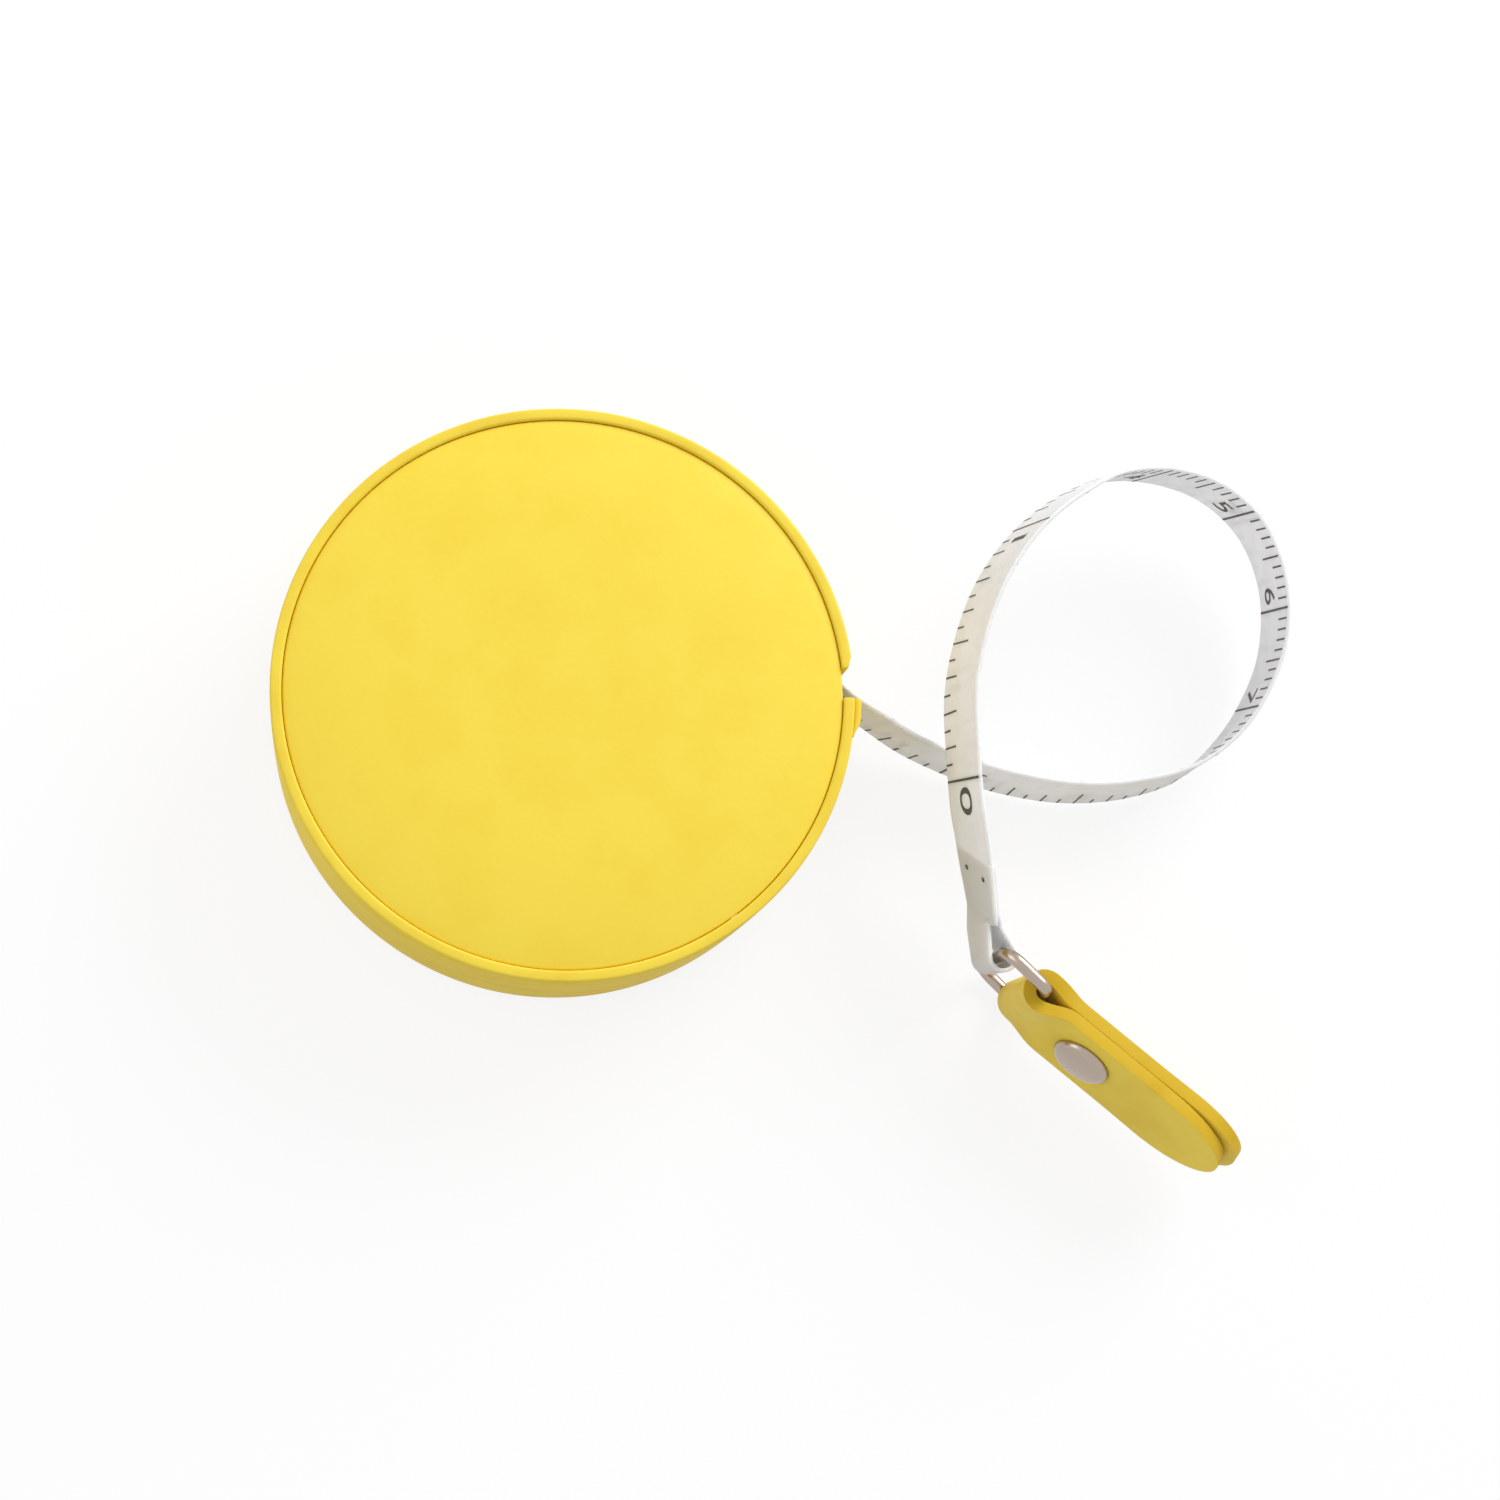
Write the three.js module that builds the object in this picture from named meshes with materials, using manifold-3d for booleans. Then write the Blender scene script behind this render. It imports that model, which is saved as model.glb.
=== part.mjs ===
// A spring-return pocket tape measure: a round leather-covered case lying on its back, with a cloth tape
// that leaves a slot in the rim, makes one loop and ends in a wire ring with a folded leather pull tab.
// Millimetres, +Z up, origin in the middle of the flat back that it rests on, the slot on the +X side.
import * as THREE from 'three';
import { mergeVertices } from 'three/addons/utils/BufferGeometryUtils.js';
import Module from 'manifold-3d';

const wasm = await Module();
wasm.setup();

// Case: driving sizes
const BAND_OUTER_RADIUS = 25.6;
const BAND_THICKNESS = 1.0;
const BAND_EDGE_ROUND = 0.3;
const BAND_STANDS_PROUD = 0.8;
const BAND_FOOT_GAP = 0.3;
const GLUE_GAP = 0.1;
const MOUTH_WIDTH = 2.9;
const MOUTH_MIDDLE = 1.55;
const LIP_FLARE = 0.15;
const LIP_FLARE_ARC = THREE.MathUtils.degToRad(9);
const CASING_SLOT_WIDTH = 6.0;
const CASING_SLOT_MIDDLE = 2.6;
const COVER_THICKNESS = 1.0;
const COVER_CROWN = 1.1;
const COVER_EDGE_GAP = 0.25;
const COVER_EDGE_ROUND = 0.3;
const PAD_MARGIN = 3.2;
const PAD_GAP = 0.05;
const CASING_WALL = 1.2;
const CASING_TONGUE = 1.0;
const SNAP_GAP = 0.1;

// Tape, reel and spring: driving sizes
const TAPE_WIDTH = 7.5;
const TAPE_THICKNESS = 0.35;
const TAPE_LENGTH = 1500;
const WIND_SLACK = 0.03;
const TAPE_SIDE_GAP = 0.2;
const HUB_RADIUS = 13.5;
const HUB_WALL = 0.9;
const HUB_TAPE_GAP = 0.1;
const FLANGE_THICKNESS = 0.6;
const FLANGE_RIM = 1.0;
const RUNNING_GAP = 0.3;
const CEILING_GAP = 0.4;
const ARBOR_RADIUS = 3.4;
const ARBOR_BASE = 1.8;
const JOURNAL_GAP = 0.08;
const MAINSPRING_THICKNESS = 0.25;
const MAINSPRING_PITCH = 1.05;
const SCREW_RADIUS = 0.75;
const SCREW_HEAD_RADIUS = 1.7;
const SCREW_HEAD_HEIGHT = 0.5;
const SCREW_BITE = 1.2;
const SCREW_GAP = 0.15;

// Push button and brake: driving sizes
const BUTTON_RADIUS = 6.0;
const BUTTON_CAP = 1.2;
const BUTTON_SINK = 0.1;
const BUTTON_GAP = 0.3;
const BUTTON_TRAVEL = 1.2;
const STROKE_MARGIN = 0.3;
const STEM_RADIUS = 2.3;
const STEM_GAP = 0.3;
const STEM_REACH = 1.25;
const BRAKE_PLATE_THICKNESS = 0.6;
const BRAKE_RING_THICKNESS = 0.6;
const BRAKE_RING_WIDTH = 1.9;
const BRAKE_CONTACT_GAP = 0.05;
const PLATE_FIT_GAP = 0.05;
const BRAKE_WIRE = 0.3;
const BRAKE_COIL_PITCH = 0.77;
const BRAKE_SPRING_END_GAP = 0.05;

// Tape end, ring, pull tab and rivet: driving sizes
const FOLD_LENGTH = 10.0;
const LOOP_POINT = 4.0;
const STAPLE_FROM_RING = 8.3;
const STAPLE_SPAN = 3.6;
const STAPLE_WIRE = 0.35;
const STAPLE_GAP = 0.1;
const RING_WIRE = 1.2;
const RING_BAR_SPACING = 4.9;
const RING_LEG_SPACING = 11.4;
const RING_TAPE_CORNER = 1.85;
const RING_TAB_CORNER = 0.9;
const RING_DIRECTION = THREE.MathUtils.degToRad(-44);
const BAR_GAP = 0.3;
const TAB_DIRECTION = THREE.MathUtils.degToRad(-38.5);
const TAB_LEAN = THREE.MathUtils.degToRad(12);
const TAB_THICKNESS = 1.15;
const TAB_WIDTH = 9.5;
const TAB_REACH = 24.3;
const TAB_PINCH = 4.8;
const TAB_LAYER_GAP = 0.15;
const TAB_TIP_SPLAY = 0.2;
const TAB_SET_FORWARD = 0.6;
const TAB_TIP_LENGTH = 7.2;
const TAB_FRONT_SHORTER = 1.3;
const RIVET_FROM_BAR = 7.1;
const RIVET_CAP_RADIUS = 2.8;
const RIVET_CAP_RIM = 0.45;
const RIVET_CAP_DOME = 0.5;
const RIVET_FLANGE_RADIUS = 2.6;
const RIVET_FLANGE_THICKNESS = 0.4;
const RIVET_POST_RADIUS = 0.9;
const RIVET_GAP = 0.1;
const RIVET_SOCKET = 0.5;

// Facet counts
const ROUND_STEPS = 48;
const SMALL_STEPS = 24;
const CROWN_STEPS = 6;

// How far a cutting tool runs past the face that it cuts
const CUT_OVERRUN = 1;

// Heights, from the resting face upward
const backCoverTop = COVER_THICKNESS;
const floorTop = backCoverTop + CASING_WALL;
const flangeBottom = floorTop + RUNNING_GAP;
const flangeTop = flangeBottom + FLANGE_THICKNESS;
const tapeBottom = flangeTop + TAPE_SIDE_GAP;
const tapeTop = tapeBottom + TAPE_WIDTH;
const lidBottom = tapeTop + TAPE_SIDE_GAP;
const lidTop = lidBottom + FLANGE_THICKNESS;
const ceilingBottom = lidTop + CEILING_GAP;
const ceilingTop = ceilingBottom + CASING_WALL;
const coverEdgeTop = ceilingTop + COVER_THICKNESS;
const bandTop = coverEdgeTop + BAND_STANDS_PROUD;
const splitHeight = (floorTop + ceilingBottom) / 2;
const brakeRingTop = lidBottom - BRAKE_CONTACT_GAP;
const brakePlateTop = brakeRingTop - BRAKE_RING_THICKNESS;
const brakePlateBottom = brakePlateTop - BRAKE_PLATE_THICKNESS;
const arborTop = brakePlateBottom - BUTTON_TRAVEL - STROKE_MARGIN;
const stemEnd = arborTop - STEM_REACH;
const springSeat = floorTop + ARBOR_BASE;
const buttonTop = ceilingTop - BUTTON_SINK;
const buttonBottom = buttonTop - BUTTON_CAP;

// Radii, from the rim inward
const bandInnerRadius = BAND_OUTER_RADIUS - BAND_THICKNESS;
const casingOuterRadius = bandInnerRadius - GLUE_GAP;
const casingInnerRadius = casingOuterRadius - CASING_WALL;
const coverRadius = bandInnerRadius - COVER_EDGE_GAP;
const padRadius = coverRadius - PAD_MARGIN;
const hubInnerRadius = HUB_RADIUS - HUB_WALL;
const windingInnerRadius = HUB_RADIUS + HUB_TAPE_GAP;
const wireRadius = RING_WIRE / 2;

// Free tape: hand-chosen points of its middle line from the mouth to the ring, each with the lean of its
// upper edge towards the left of the way it runs, in degrees. It comes down to the floor, climbs round the
// right and far sides of its one loop, passes over its own first stretch and comes down again to the ring.
const MOUTH_POINT = new THREE.Vector3(25.7, 1.7, 6.9);
const LEAD_HEIGHT = tapeBottom + TAPE_WIDTH / 2;
const FREE_ROUTE = [
  [29.1, -0.3, 6.1, 0],
  [32.5, -2.1, 5.15, 1],
  [37.4, -3.9, 4.3, 3],
  [42.0, -5.2, 4.1, 4],
  [48.0, -6.0, 4.1, 4],
  [54.0, -5.5, 4.15, 4],
  [59.1, -3.9, 4.4, 2],
  [63.1, -0.7, 4.9, -2],
  [65.8, 3.2, 5.5, -2],
  [67.6, 8.2, 6.25, -1],
  [67.5, 14.1, 7.15, 1],
  [65.3, 19.0, 8.0, 3],
  [61.4, 22.1, 8.9, 5],
  [56.2, 23.3, 10.05, 7],
  [50.8, 22.6, 11.4, 10],
  [45.9, 19.9, 12.6, 12],
  [42.0, 16.5, 13.25, 12],
  [39.0, 12.4, 13.5, 12],
  [36.9, 7.5, 13.4, 11],
  [35.7, 1.8, 13.0, 10],
  [35.8, -4.3, 12.7, 9],
  [36.2, -8.7, 12.15, 8],
  [37.0, -12.2, 10.85, 6],
  [37.9, -15.6, 9.0, 4],
  [38.7, -18.7, 7.45, 1],
  [39.2, -20.6, 6.8, 0],
  [39.7, -22.0, 6.7, 0],
];
const RIBBON_STEP = 2.2;

// Wound radii from the length of tape that is on the reel
const woundRadius = (length) =>
  Math.sqrt(windingInnerRadius ** 2 + (length * (TAPE_THICKNESS + WIND_SLACK)) / Math.PI);
const fullRadius = woundRadius(TAPE_LENGTH);
const flangeRadius = fullRadius + FLANGE_RIM;

// Colours and finishes
const finish = (color, roughness, metalness = 0) =>
  new THREE.MeshStandardMaterial({ color, roughness, metalness });
const yellowLeather = finish('#f6dc45', 0.55);
const bandLeather = finish('#efd22f', 0.55);
const foam = finish('#e8e2d2', 0.95);
const casingPlastic = finish('#d9d8d2', 0.45);
const reelPlastic = finish('#f2f1ec', 0.4);
const buttonPlastic = finish('#c9c8c2', 0.45);
const springSteel = finish('#8b8f94', 0.3, 1);
const brightSteel = finish('#c4c6c8', 0.25, 1);
const nickel = finish('#cfccc8', 0.18, 1);
const brakeRubber = finish('#2b2b2b', 0.9);
const tapeCloth = finish('#efeeea', 0.6);

// Shape helpers

// Gives a closed geometry of shared vertices whose faces point outwards.
function closedBody(geometry) {
  const bare = geometry.index ? geometry.toNonIndexed() : geometry.clone();
  bare.deleteAttribute('normal');
  bare.deleteAttribute('uv');
  const body = mergeVertices(bare, 1e-4);
  const place = body.getAttribute('position');
  const index = body.getIndex();
  const kept = [];
  let volume = 0;
  const a = new THREE.Vector3();
  const b = new THREE.Vector3();
  const c = new THREE.Vector3();
  for (let i = 0; i < index.count; i += 3) {
    const corner = [index.getX(i), index.getX(i + 1), index.getX(i + 2)];
    if (new Set(corner).size < 3) continue;
    kept.push(...corner);
    a.fromBufferAttribute(place, corner[0]);
    b.fromBufferAttribute(place, corner[1]);
    c.fromBufferAttribute(place, corner[2]);
    volume += a.dot(b.clone().cross(c));
  }
  if (volume < 0) kept.reverse();
  body.setIndex(kept);
  return body;
}

function toSolid(geometry) {
  const body = closedBody(geometry);
  return new wasm.Manifold(
    new wasm.Mesh({
      numProp: 3,
      vertProperties: new Float32Array(body.getAttribute('position').array),
      triVerts: new Uint32Array(body.getIndex().array),
    }),
  );
}

function toGeometry(solid) {
  const mesh = solid.getMesh();
  const geometry = new THREE.BufferGeometry();
  geometry.setAttribute('position', new THREE.BufferAttribute(new Float32Array(mesh.vertProperties), 3));
  geometry.setIndex(new THREE.BufferAttribute(new Uint32Array(mesh.triVerts), 1));
  return geometry;
}

const join = (first, ...others) =>
  toGeometry(others.reduce((sum, other) => sum.add(toSolid(other)), toSolid(first)));
const cut = (first, ...others) =>
  toGeometry(others.reduce((sum, other) => sum.subtract(toSolid(other)), toSolid(first)));

// Turns an outline of [radius, height] points about Z. The outline starts and ends on the axis, or is closed.
function turned(outline, steps = ROUND_STEPS) {
  const onAxis = outline[0][0] === 0;
  const points = onAxis ? outline : [...outline, outline[0]];
  const geometry = new THREE.LatheGeometry(points.map(([r, h]) => new THREE.Vector2(r, h)), steps);
  return geometry.rotateX(Math.PI / 2);
}

const washer = (inner, outer, bottom, top, steps) =>
  turned([[inner, bottom], [outer, bottom], [outer, top], [inner, top]], steps);

function box(low, high) {
  const geometry = new THREE.BoxGeometry(high[0] - low[0], high[1] - low[1], high[2] - low[2]);
  return geometry.translate((low[0] + high[0]) / 2, (low[1] + high[1]) / 2, (low[2] + high[2]) / 2);
}

// A bar with a six-sided section that stands on Z, used for the keyed button stem and its socket.
function hexBar(radius, bottom, top) {
  const geometry = new THREE.CylinderGeometry(radius, radius, top - bottom, 6);
  return geometry.rotateX(Math.PI / 2).translate(0, 0, (bottom + top) / 2);
}

function prism(points, bottom, top, hole = null) {
  const shape = new THREE.Shape(points);
  if (hole) shape.holes.push(new THREE.Path(hole));
  const geometry = new THREE.ExtrudeGeometry(shape, { depth: top - bottom, bevelEnabled: false });
  return geometry.translate(0, 0, bottom);
}

const circlePoints = (radius, steps) =>
  Array.from({ length: steps }, (_, i) => {
    const angle = (i / steps) * 2 * Math.PI;
    return new THREE.Vector2(radius * Math.cos(angle), radius * Math.sin(angle));
  });

// Skins a row of matching sections. A ring of sections closes on itself, and a strip gets flat ends.
function skinned(sections, isRing = false) {
  const sides = sections[0].length;
  const index = [];
  const spans = isRing ? sections.length : sections.length - 1;
  for (let i = 0; i < spans; i += 1) {
    const next = (i + 1) % sections.length;
    for (let j = 0; j < sides; j += 1) {
      const k = (j + 1) % sides;
      index.push(i * sides + j, i * sides + k, next * sides + k);
      index.push(i * sides + j, next * sides + k, next * sides + j);
    }
  }
  if (!isRing) {
    const last = (sections.length - 1) * sides;
    for (let j = 1; j < sides - 1; j += 1) {
      index.push(0, j + 1, j);
      index.push(last, last + j, last + j + 1);
    }
  }
  const geometry = new THREE.BufferGeometry().setFromPoints(sections.flat());
  geometry.setIndex(index);
  return geometry;
}

// Least clear gap between neighbouring turns of a winding, measured on its middle points.
function leastTurnGap(points, stepsPerTurn, thickness) {
  let least = Infinity;
  for (let i = 0; i < points.length; i += 1) {
    for (let j = i + Math.floor(stepsPerTurn / 2); j < points.length; j += 1) {
      least = Math.min(least, points[i].distanceTo(points[j]));
    }
  }
  return least - thickness;
}

const tapeMeasure = new THREE.Group();

function add(name, geometry, material, parent = tapeMeasure) {
  const mesh = new THREE.Mesh(closedBody(geometry), material);
  mesh.name = name;
  parent.add(mesh);
}

// Covers, pad and rim band

// Rise of the padded front above its edge: nearly flat in the middle, rolling off towards the rim.
const crownAt = (radius) => COVER_CROWN * (1 - (radius / coverRadius) ** 4);

const crownOutline = (outer, base) =>
  Array.from({ length: CROWN_STEPS + 1 }, (_, i) => {
    const radius = outer * (1 - i / CROWN_STEPS);
    return [radius, base + crownAt(radius)];
  });

function frontCover() {
  const top = crownOutline(coverRadius, coverEdgeTop);
  const under = crownOutline(coverRadius, ceilingTop).reverse();
  return turned([...under, ...top]);
}

function frontPad() {
  return turned([[0, ceilingTop], [padRadius, ceilingTop], ...crownOutline(padRadius, ceilingTop - PAD_GAP)]);
}

function backCover() {
  return turned([
    [0, 0],
    [coverRadius - COVER_EDGE_ROUND, 0],
    [coverRadius, COVER_EDGE_ROUND],
    [coverRadius, backCoverTop],
    [0, backCoverTop],
  ]);
}

// The band's upper end, beside the mouth, turns out a little. Its two ends leave the mouth open.
function rimBand() {
  const upperEnd = Math.asin((MOUTH_MIDDLE + MOUTH_WIDTH / 2) / BAND_OUTER_RADIUS);
  const lowerEnd = 2 * Math.PI + Math.asin((MOUTH_MIDDLE - MOUTH_WIDTH / 2) / BAND_OUTER_RADIUS);
  const outer = [];
  const inner = [];
  for (let i = 0; i <= ROUND_STEPS; i += 1) {
    const angle = upperEnd + ((lowerEnd - upperEnd) * i) / ROUND_STEPS;
    const flare = LIP_FLARE * Math.max(0, 1 - (angle - upperEnd) / LIP_FLARE_ARC) ** 2;
    const way = new THREE.Vector2(Math.cos(angle), Math.sin(angle));
    outer.push(way.clone().multiplyScalar(BAND_OUTER_RADIUS + flare));
    inner.unshift(way.clone().multiplyScalar(bandInnerRadius + flare));
  }
  const geometry = new THREE.ExtrudeGeometry(new THREE.Shape([...outer, ...inner]), {
    depth: bandTop - BAND_FOOT_GAP - 2 * BAND_EDGE_ROUND,
    bevelThickness: BAND_EDGE_ROUND,
    bevelSize: BAND_EDGE_ROUND,
    bevelOffset: -BAND_EDGE_ROUND,
    bevelSegments: 2,
  });
  return geometry.translate(0, 0, BAND_FOOT_GAP + BAND_EDGE_ROUND);
}

// Casing halves, which snap together by a tongue and share the slot for the tape

const tongueRadius = casingInnerRadius + CASING_WALL / 2;

const casingSlot = () =>
  box(
    [casingInnerRadius - CASING_WALL, CASING_SLOT_MIDDLE - CASING_SLOT_WIDTH / 2, flangeBottom],
    [BAND_OUTER_RADIUS, CASING_SLOT_MIDDLE + CASING_SLOT_WIDTH / 2, lidTop],
  );

function frontCasing() {
  const buttonHole = BUTTON_RADIUS + BUTTON_GAP;
  const tongueEnd = splitHeight - CASING_TONGUE;
  const shell = turned([
    [buttonHole, ceilingBottom],
    [casingInnerRadius, ceilingBottom],
    [casingInnerRadius, tongueEnd],
    [tongueRadius - SNAP_GAP, tongueEnd],
    [tongueRadius - SNAP_GAP, splitHeight],
    [casingOuterRadius, splitHeight],
    [casingOuterRadius, ceilingTop],
    [buttonHole, ceilingTop],
  ]);
  return cut(shell, casingSlot());
}

function backCasing() {
  const shankHole = SCREW_RADIUS + SCREW_GAP;
  const headHole = SCREW_HEAD_RADIUS + SCREW_GAP;
  const headRecess = backCoverTop + SCREW_HEAD_HEIGHT + SCREW_GAP;
  const rebate = splitHeight - CASING_TONGUE - SNAP_GAP;
  const shell = turned([
    [headHole, backCoverTop],
    [casingOuterRadius, backCoverTop],
    [casingOuterRadius, splitHeight],
    [tongueRadius, splitHeight],
    [tongueRadius, rebate],
    [casingInnerRadius, rebate],
    [casingInnerRadius, floorTop],
    [shankHole, floorTop],
    [shankHole, headRecess],
    [headHole, headRecess],
  ]);
  return cut(shell, casingSlot());
}

// Fixed post in the middle: it carries the reel, holds the mainspring's inner end and guides the button stem

function springArbor() {
  const screwHole = SCREW_RADIUS + SCREW_GAP / 2;
  const screwHoleTop = floorTop + SCREW_BITE + SCREW_GAP;
  const post = turned(
    [
      [screwHole, floorTop],
      [ARBOR_RADIUS, floorTop],
      [ARBOR_RADIUS, arborTop],
      [0, arborTop],
      [0, screwHoleTop],
      [screwHole, screwHoleTop],
    ],
    SMALL_STEPS,
  );
  return cut(post, hexBar(STEM_RADIUS + STEM_GAP, springSeat, arborTop + STEM_GAP));
}

function arborScrew() {
  const headBottom = backCoverTop + SCREW_GAP / 2;
  const headTop = headBottom + SCREW_HEAD_HEIGHT;
  const tip = floorTop + SCREW_BITE;
  return turned(
    [
      [0, headBottom],
      [SCREW_HEAD_RADIUS, headBottom],
      [SCREW_HEAD_RADIUS, headTop],
      [SCREW_RADIUS, headTop],
      [SCREW_RADIUS, tip],
      [0, tip],
    ],
    SMALL_STEPS,
  );
}

function mainspring() {
  const stepsPerTurn = 20;
  const innerRadius = ARBOR_RADIUS + RUNNING_GAP + MAINSPRING_THICKNESS / 2;
  const outerRadius = hubInnerRadius - RUNNING_GAP - MAINSPRING_THICKNESS / 2;
  const turns = (outerRadius - innerRadius) / MAINSPRING_PITCH;
  const steps = Math.ceil(turns * stepsPerTurn);
  const side = (offset) =>
    Array.from({ length: steps + 1 }, (_, i) => {
      const angle = (i / steps) * turns * 2 * Math.PI;
      const radius = innerRadius + (i / steps) * (outerRadius - innerRadius) + offset;
      return new THREE.Vector2(radius * Math.cos(angle), radius * Math.sin(angle));
    });
  const gap = leastTurnGap(side(0), stepsPerTurn, MAINSPRING_THICKNESS);
  console.log(`mainspring: least gap between turns ${gap.toFixed(2)} mm`);
  const outline = [...side(MAINSPRING_THICKNESS / 2), ...side(-MAINSPRING_THICKNESS / 2).reverse()];
  return prism(outline, flangeTop + RUNNING_GAP, arborTop - RUNNING_GAP);
}

// Reel: drum with its lower flange, lid as the upper flange, and the tape wound between them

function reelDrum() {
  const bore = ARBOR_RADIUS + JOURNAL_GAP;
  return turned([
    [bore, flangeBottom],
    [flangeRadius, flangeBottom],
    [flangeRadius, flangeTop],
    [HUB_RADIUS, flangeTop],
    [HUB_RADIUS, lidBottom],
    [hubInnerRadius, lidBottom],
    [hubInnerRadius, flangeTop],
    [bore, flangeTop],
  ]);
}

const reelLid = () => washer(BUTTON_RADIUS + 2 * BUTTON_GAP, flangeRadius, lidBottom, lidTop);

// The outer turn climbs by one thickness, so the winding ends in a step where the free tape leaves it.
function tapeWinding(outerRadius, leavingAngle) {
  const outline = Array.from({ length: ROUND_STEPS + 1 }, (_, i) => {
    const share = i / ROUND_STEPS;
    const angle = leavingAngle + share * 2 * Math.PI;
    const radius = outerRadius - TAPE_THICKNESS * (1 - share);
    return new THREE.Vector2(radius * Math.cos(angle), radius * Math.sin(angle));
  });
  return prism(outline, tapeBottom, tapeTop, circlePoints(windingInnerRadius, ROUND_STEPS));
}

// Push button under the padded front, with the brake plate and rubber ring that its spring lifts to the lid

function pressButton() {
  const cap = turned([
    [0, buttonBottom],
    [BUTTON_RADIUS, buttonBottom],
    [BUTTON_RADIUS, buttonTop - BUTTON_SINK],
    [BUTTON_RADIUS - BUTTON_SINK, buttonTop],
    [0, buttonTop],
  ], SMALL_STEPS * 2);
  return join(cap, hexBar(STEM_RADIUS, stemEnd, buttonBottom + BUTTON_SINK));
}

const brakePlateRadius = hubInnerRadius - RUNNING_GAP;

function brakePlate() {
  const disc = turned([
    [0, brakePlateBottom],
    [brakePlateRadius, brakePlateBottom],
    [brakePlateRadius, brakePlateTop],
    [0, brakePlateTop],
  ]);
  const keyhole = hexBar(
    STEM_RADIUS + PLATE_FIT_GAP,
    brakePlateBottom - CUT_OVERRUN,
    brakePlateTop + CUT_OVERRUN,
  );
  return cut(disc, keyhole);
}

const brakeRing = () =>
  washer(brakePlateRadius - BRAKE_RING_WIDTH, brakePlateRadius, brakePlateTop, brakeRingTop);

function brakeSpring() {
  const stepsPerTurn = 16;
  const coilRadius = (STEM_RADIUS * Math.sqrt(3)) / 2 - BRAKE_WIRE / 2;
  const bottom = springSeat + BRAKE_SPRING_END_GAP + BRAKE_WIRE / 2;
  const top = stemEnd - BRAKE_SPRING_END_GAP - BRAKE_WIRE / 2;
  const turns = (top - bottom) / BRAKE_COIL_PITCH;
  const helix = new THREE.Curve();
  helix.getPoint = (t, target = new THREE.Vector3()) => {
    const angle = t * turns * 2 * Math.PI;
    const height = bottom + t * (top - bottom);
    return target.set(coilRadius * Math.cos(angle), coilRadius * Math.sin(angle), height);
  };
  const steps = Math.ceil(turns * stepsPerTurn);
  const gap = leastTurnGap(helix.getSpacedPoints(steps), stepsPerTurn, BRAKE_WIRE);
  console.log(`brake spring: least gap between turns ${gap.toFixed(2)} mm`);
  const section = new THREE.Shape(circlePoints(BRAKE_WIRE / 2, 6));
  return new THREE.ExtrudeGeometry(section, { steps, extrudePath: helix, bevelEnabled: false });
}

// Free tape

// The point where a straight lead from the mouth touches the winding's outside.
function leavingPoint(radius) {
  const reach = Math.hypot(MOUTH_POINT.x, MOUTH_POINT.y);
  const angle = Math.atan2(MOUTH_POINT.y, MOUTH_POINT.x) + Math.acos(radius / reach);
  return { angle, point: new THREE.Vector3(radius * Math.cos(angle), radius * Math.sin(angle), LEAD_HEIGHT) };
}

const outsideRoute = [MOUTH_POINT, ...FREE_ROUTE.map(([x, y, z]) => new THREE.Vector3(x, y, z))];
const outsideLength = new THREE.CatmullRomCurve3(outsideRoute).getLength();
const windingRadius = woundRadius(TAPE_LENGTH - outsideLength);
const leaving = leavingPoint(windingRadius + RUNNING_GAP + TAPE_THICKNESS / 2);
const leadMiddle = leaving.point.clone().lerp(MOUTH_POINT, 0.5).setZ(LEAD_HEIGHT);
const route = new THREE.CatmullRomCurve3([leaving.point, leadMiddle, ...outsideRoute]);
const routeLength = route.getLength();
const leans = [0, 0, 0, ...FREE_ROUTE.map((point) => THREE.MathUtils.degToRad(point[3]))];
console.log(`tape outside the case: ${outsideLength.toFixed(1)} mm`);
console.log(`tape from the winding to the ring: ${routeLength.toFixed(1)} mm`);

// Middle point and directions of the tape at a distance along it: along, across its face, and up its width.
function tapeFrame(distance) {
  const share = THREE.MathUtils.clamp(distance / routeLength, 0, 1);
  const along = route.getTangentAt(share);
  const level = new THREE.Vector3(0, 0, 1).cross(along).normalize();
  const upright = along.clone().cross(level);
  const place = route.getUtoTmapping(share) * (leans.length - 1);
  const before = Math.min(Math.floor(place), leans.length - 2);
  const lean = THREE.MathUtils.lerp(leans[before], leans[before + 1], place - before);
  const across = level.clone().multiplyScalar(Math.cos(lean)).addScaledVector(upright, -Math.sin(lean));
  const up = upright.multiplyScalar(Math.cos(lean)).addScaledVector(level, Math.sin(lean));
  return { middle: route.getPointAt(share), along, across, up };
}

function tapeSection(distance, backThickness) {
  const { middle, across, up } = tapeFrame(distance);
  const corner = (side, edge) => middle.clone().addScaledVector(across, side).addScaledVector(up, edge);
  const front = -TAPE_THICKNESS / 2;
  const half = TAPE_WIDTH / 2;
  return [
    corner(front, -half),
    corner(backThickness, -half),
    corner(backThickness, half),
    corner(front, half),
  ];
}

// Outline of the folded end seen along the ring's bar: a round end that narrows to a point.
function dropOutline(radius, point, steps = 16) {
  const touch = Math.acos(radius / point);
  const outline = [new THREE.Vector2(point, 0)];
  for (let i = 0; i <= steps; i += 1) {
    const angle = touch + ((2 * Math.PI - 2 * touch) * i) / steps;
    outline.push(new THREE.Vector2(radius * Math.cos(angle), radius * Math.sin(angle)));
  }
  return outline;
}

const tapeBar = outsideRoute[outsideRoute.length - 1];
const stapleFrame = tapeFrame(routeLength - STAPLE_FROM_RING);
const doubledBack = TAPE_THICKNESS * 1.5;

const stapleMatrix = new THREE.Matrix4()
  .makeBasis(stapleFrame.along, stapleFrame.across, stapleFrame.up)
  .setPosition(stapleFrame.middle);

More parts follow.
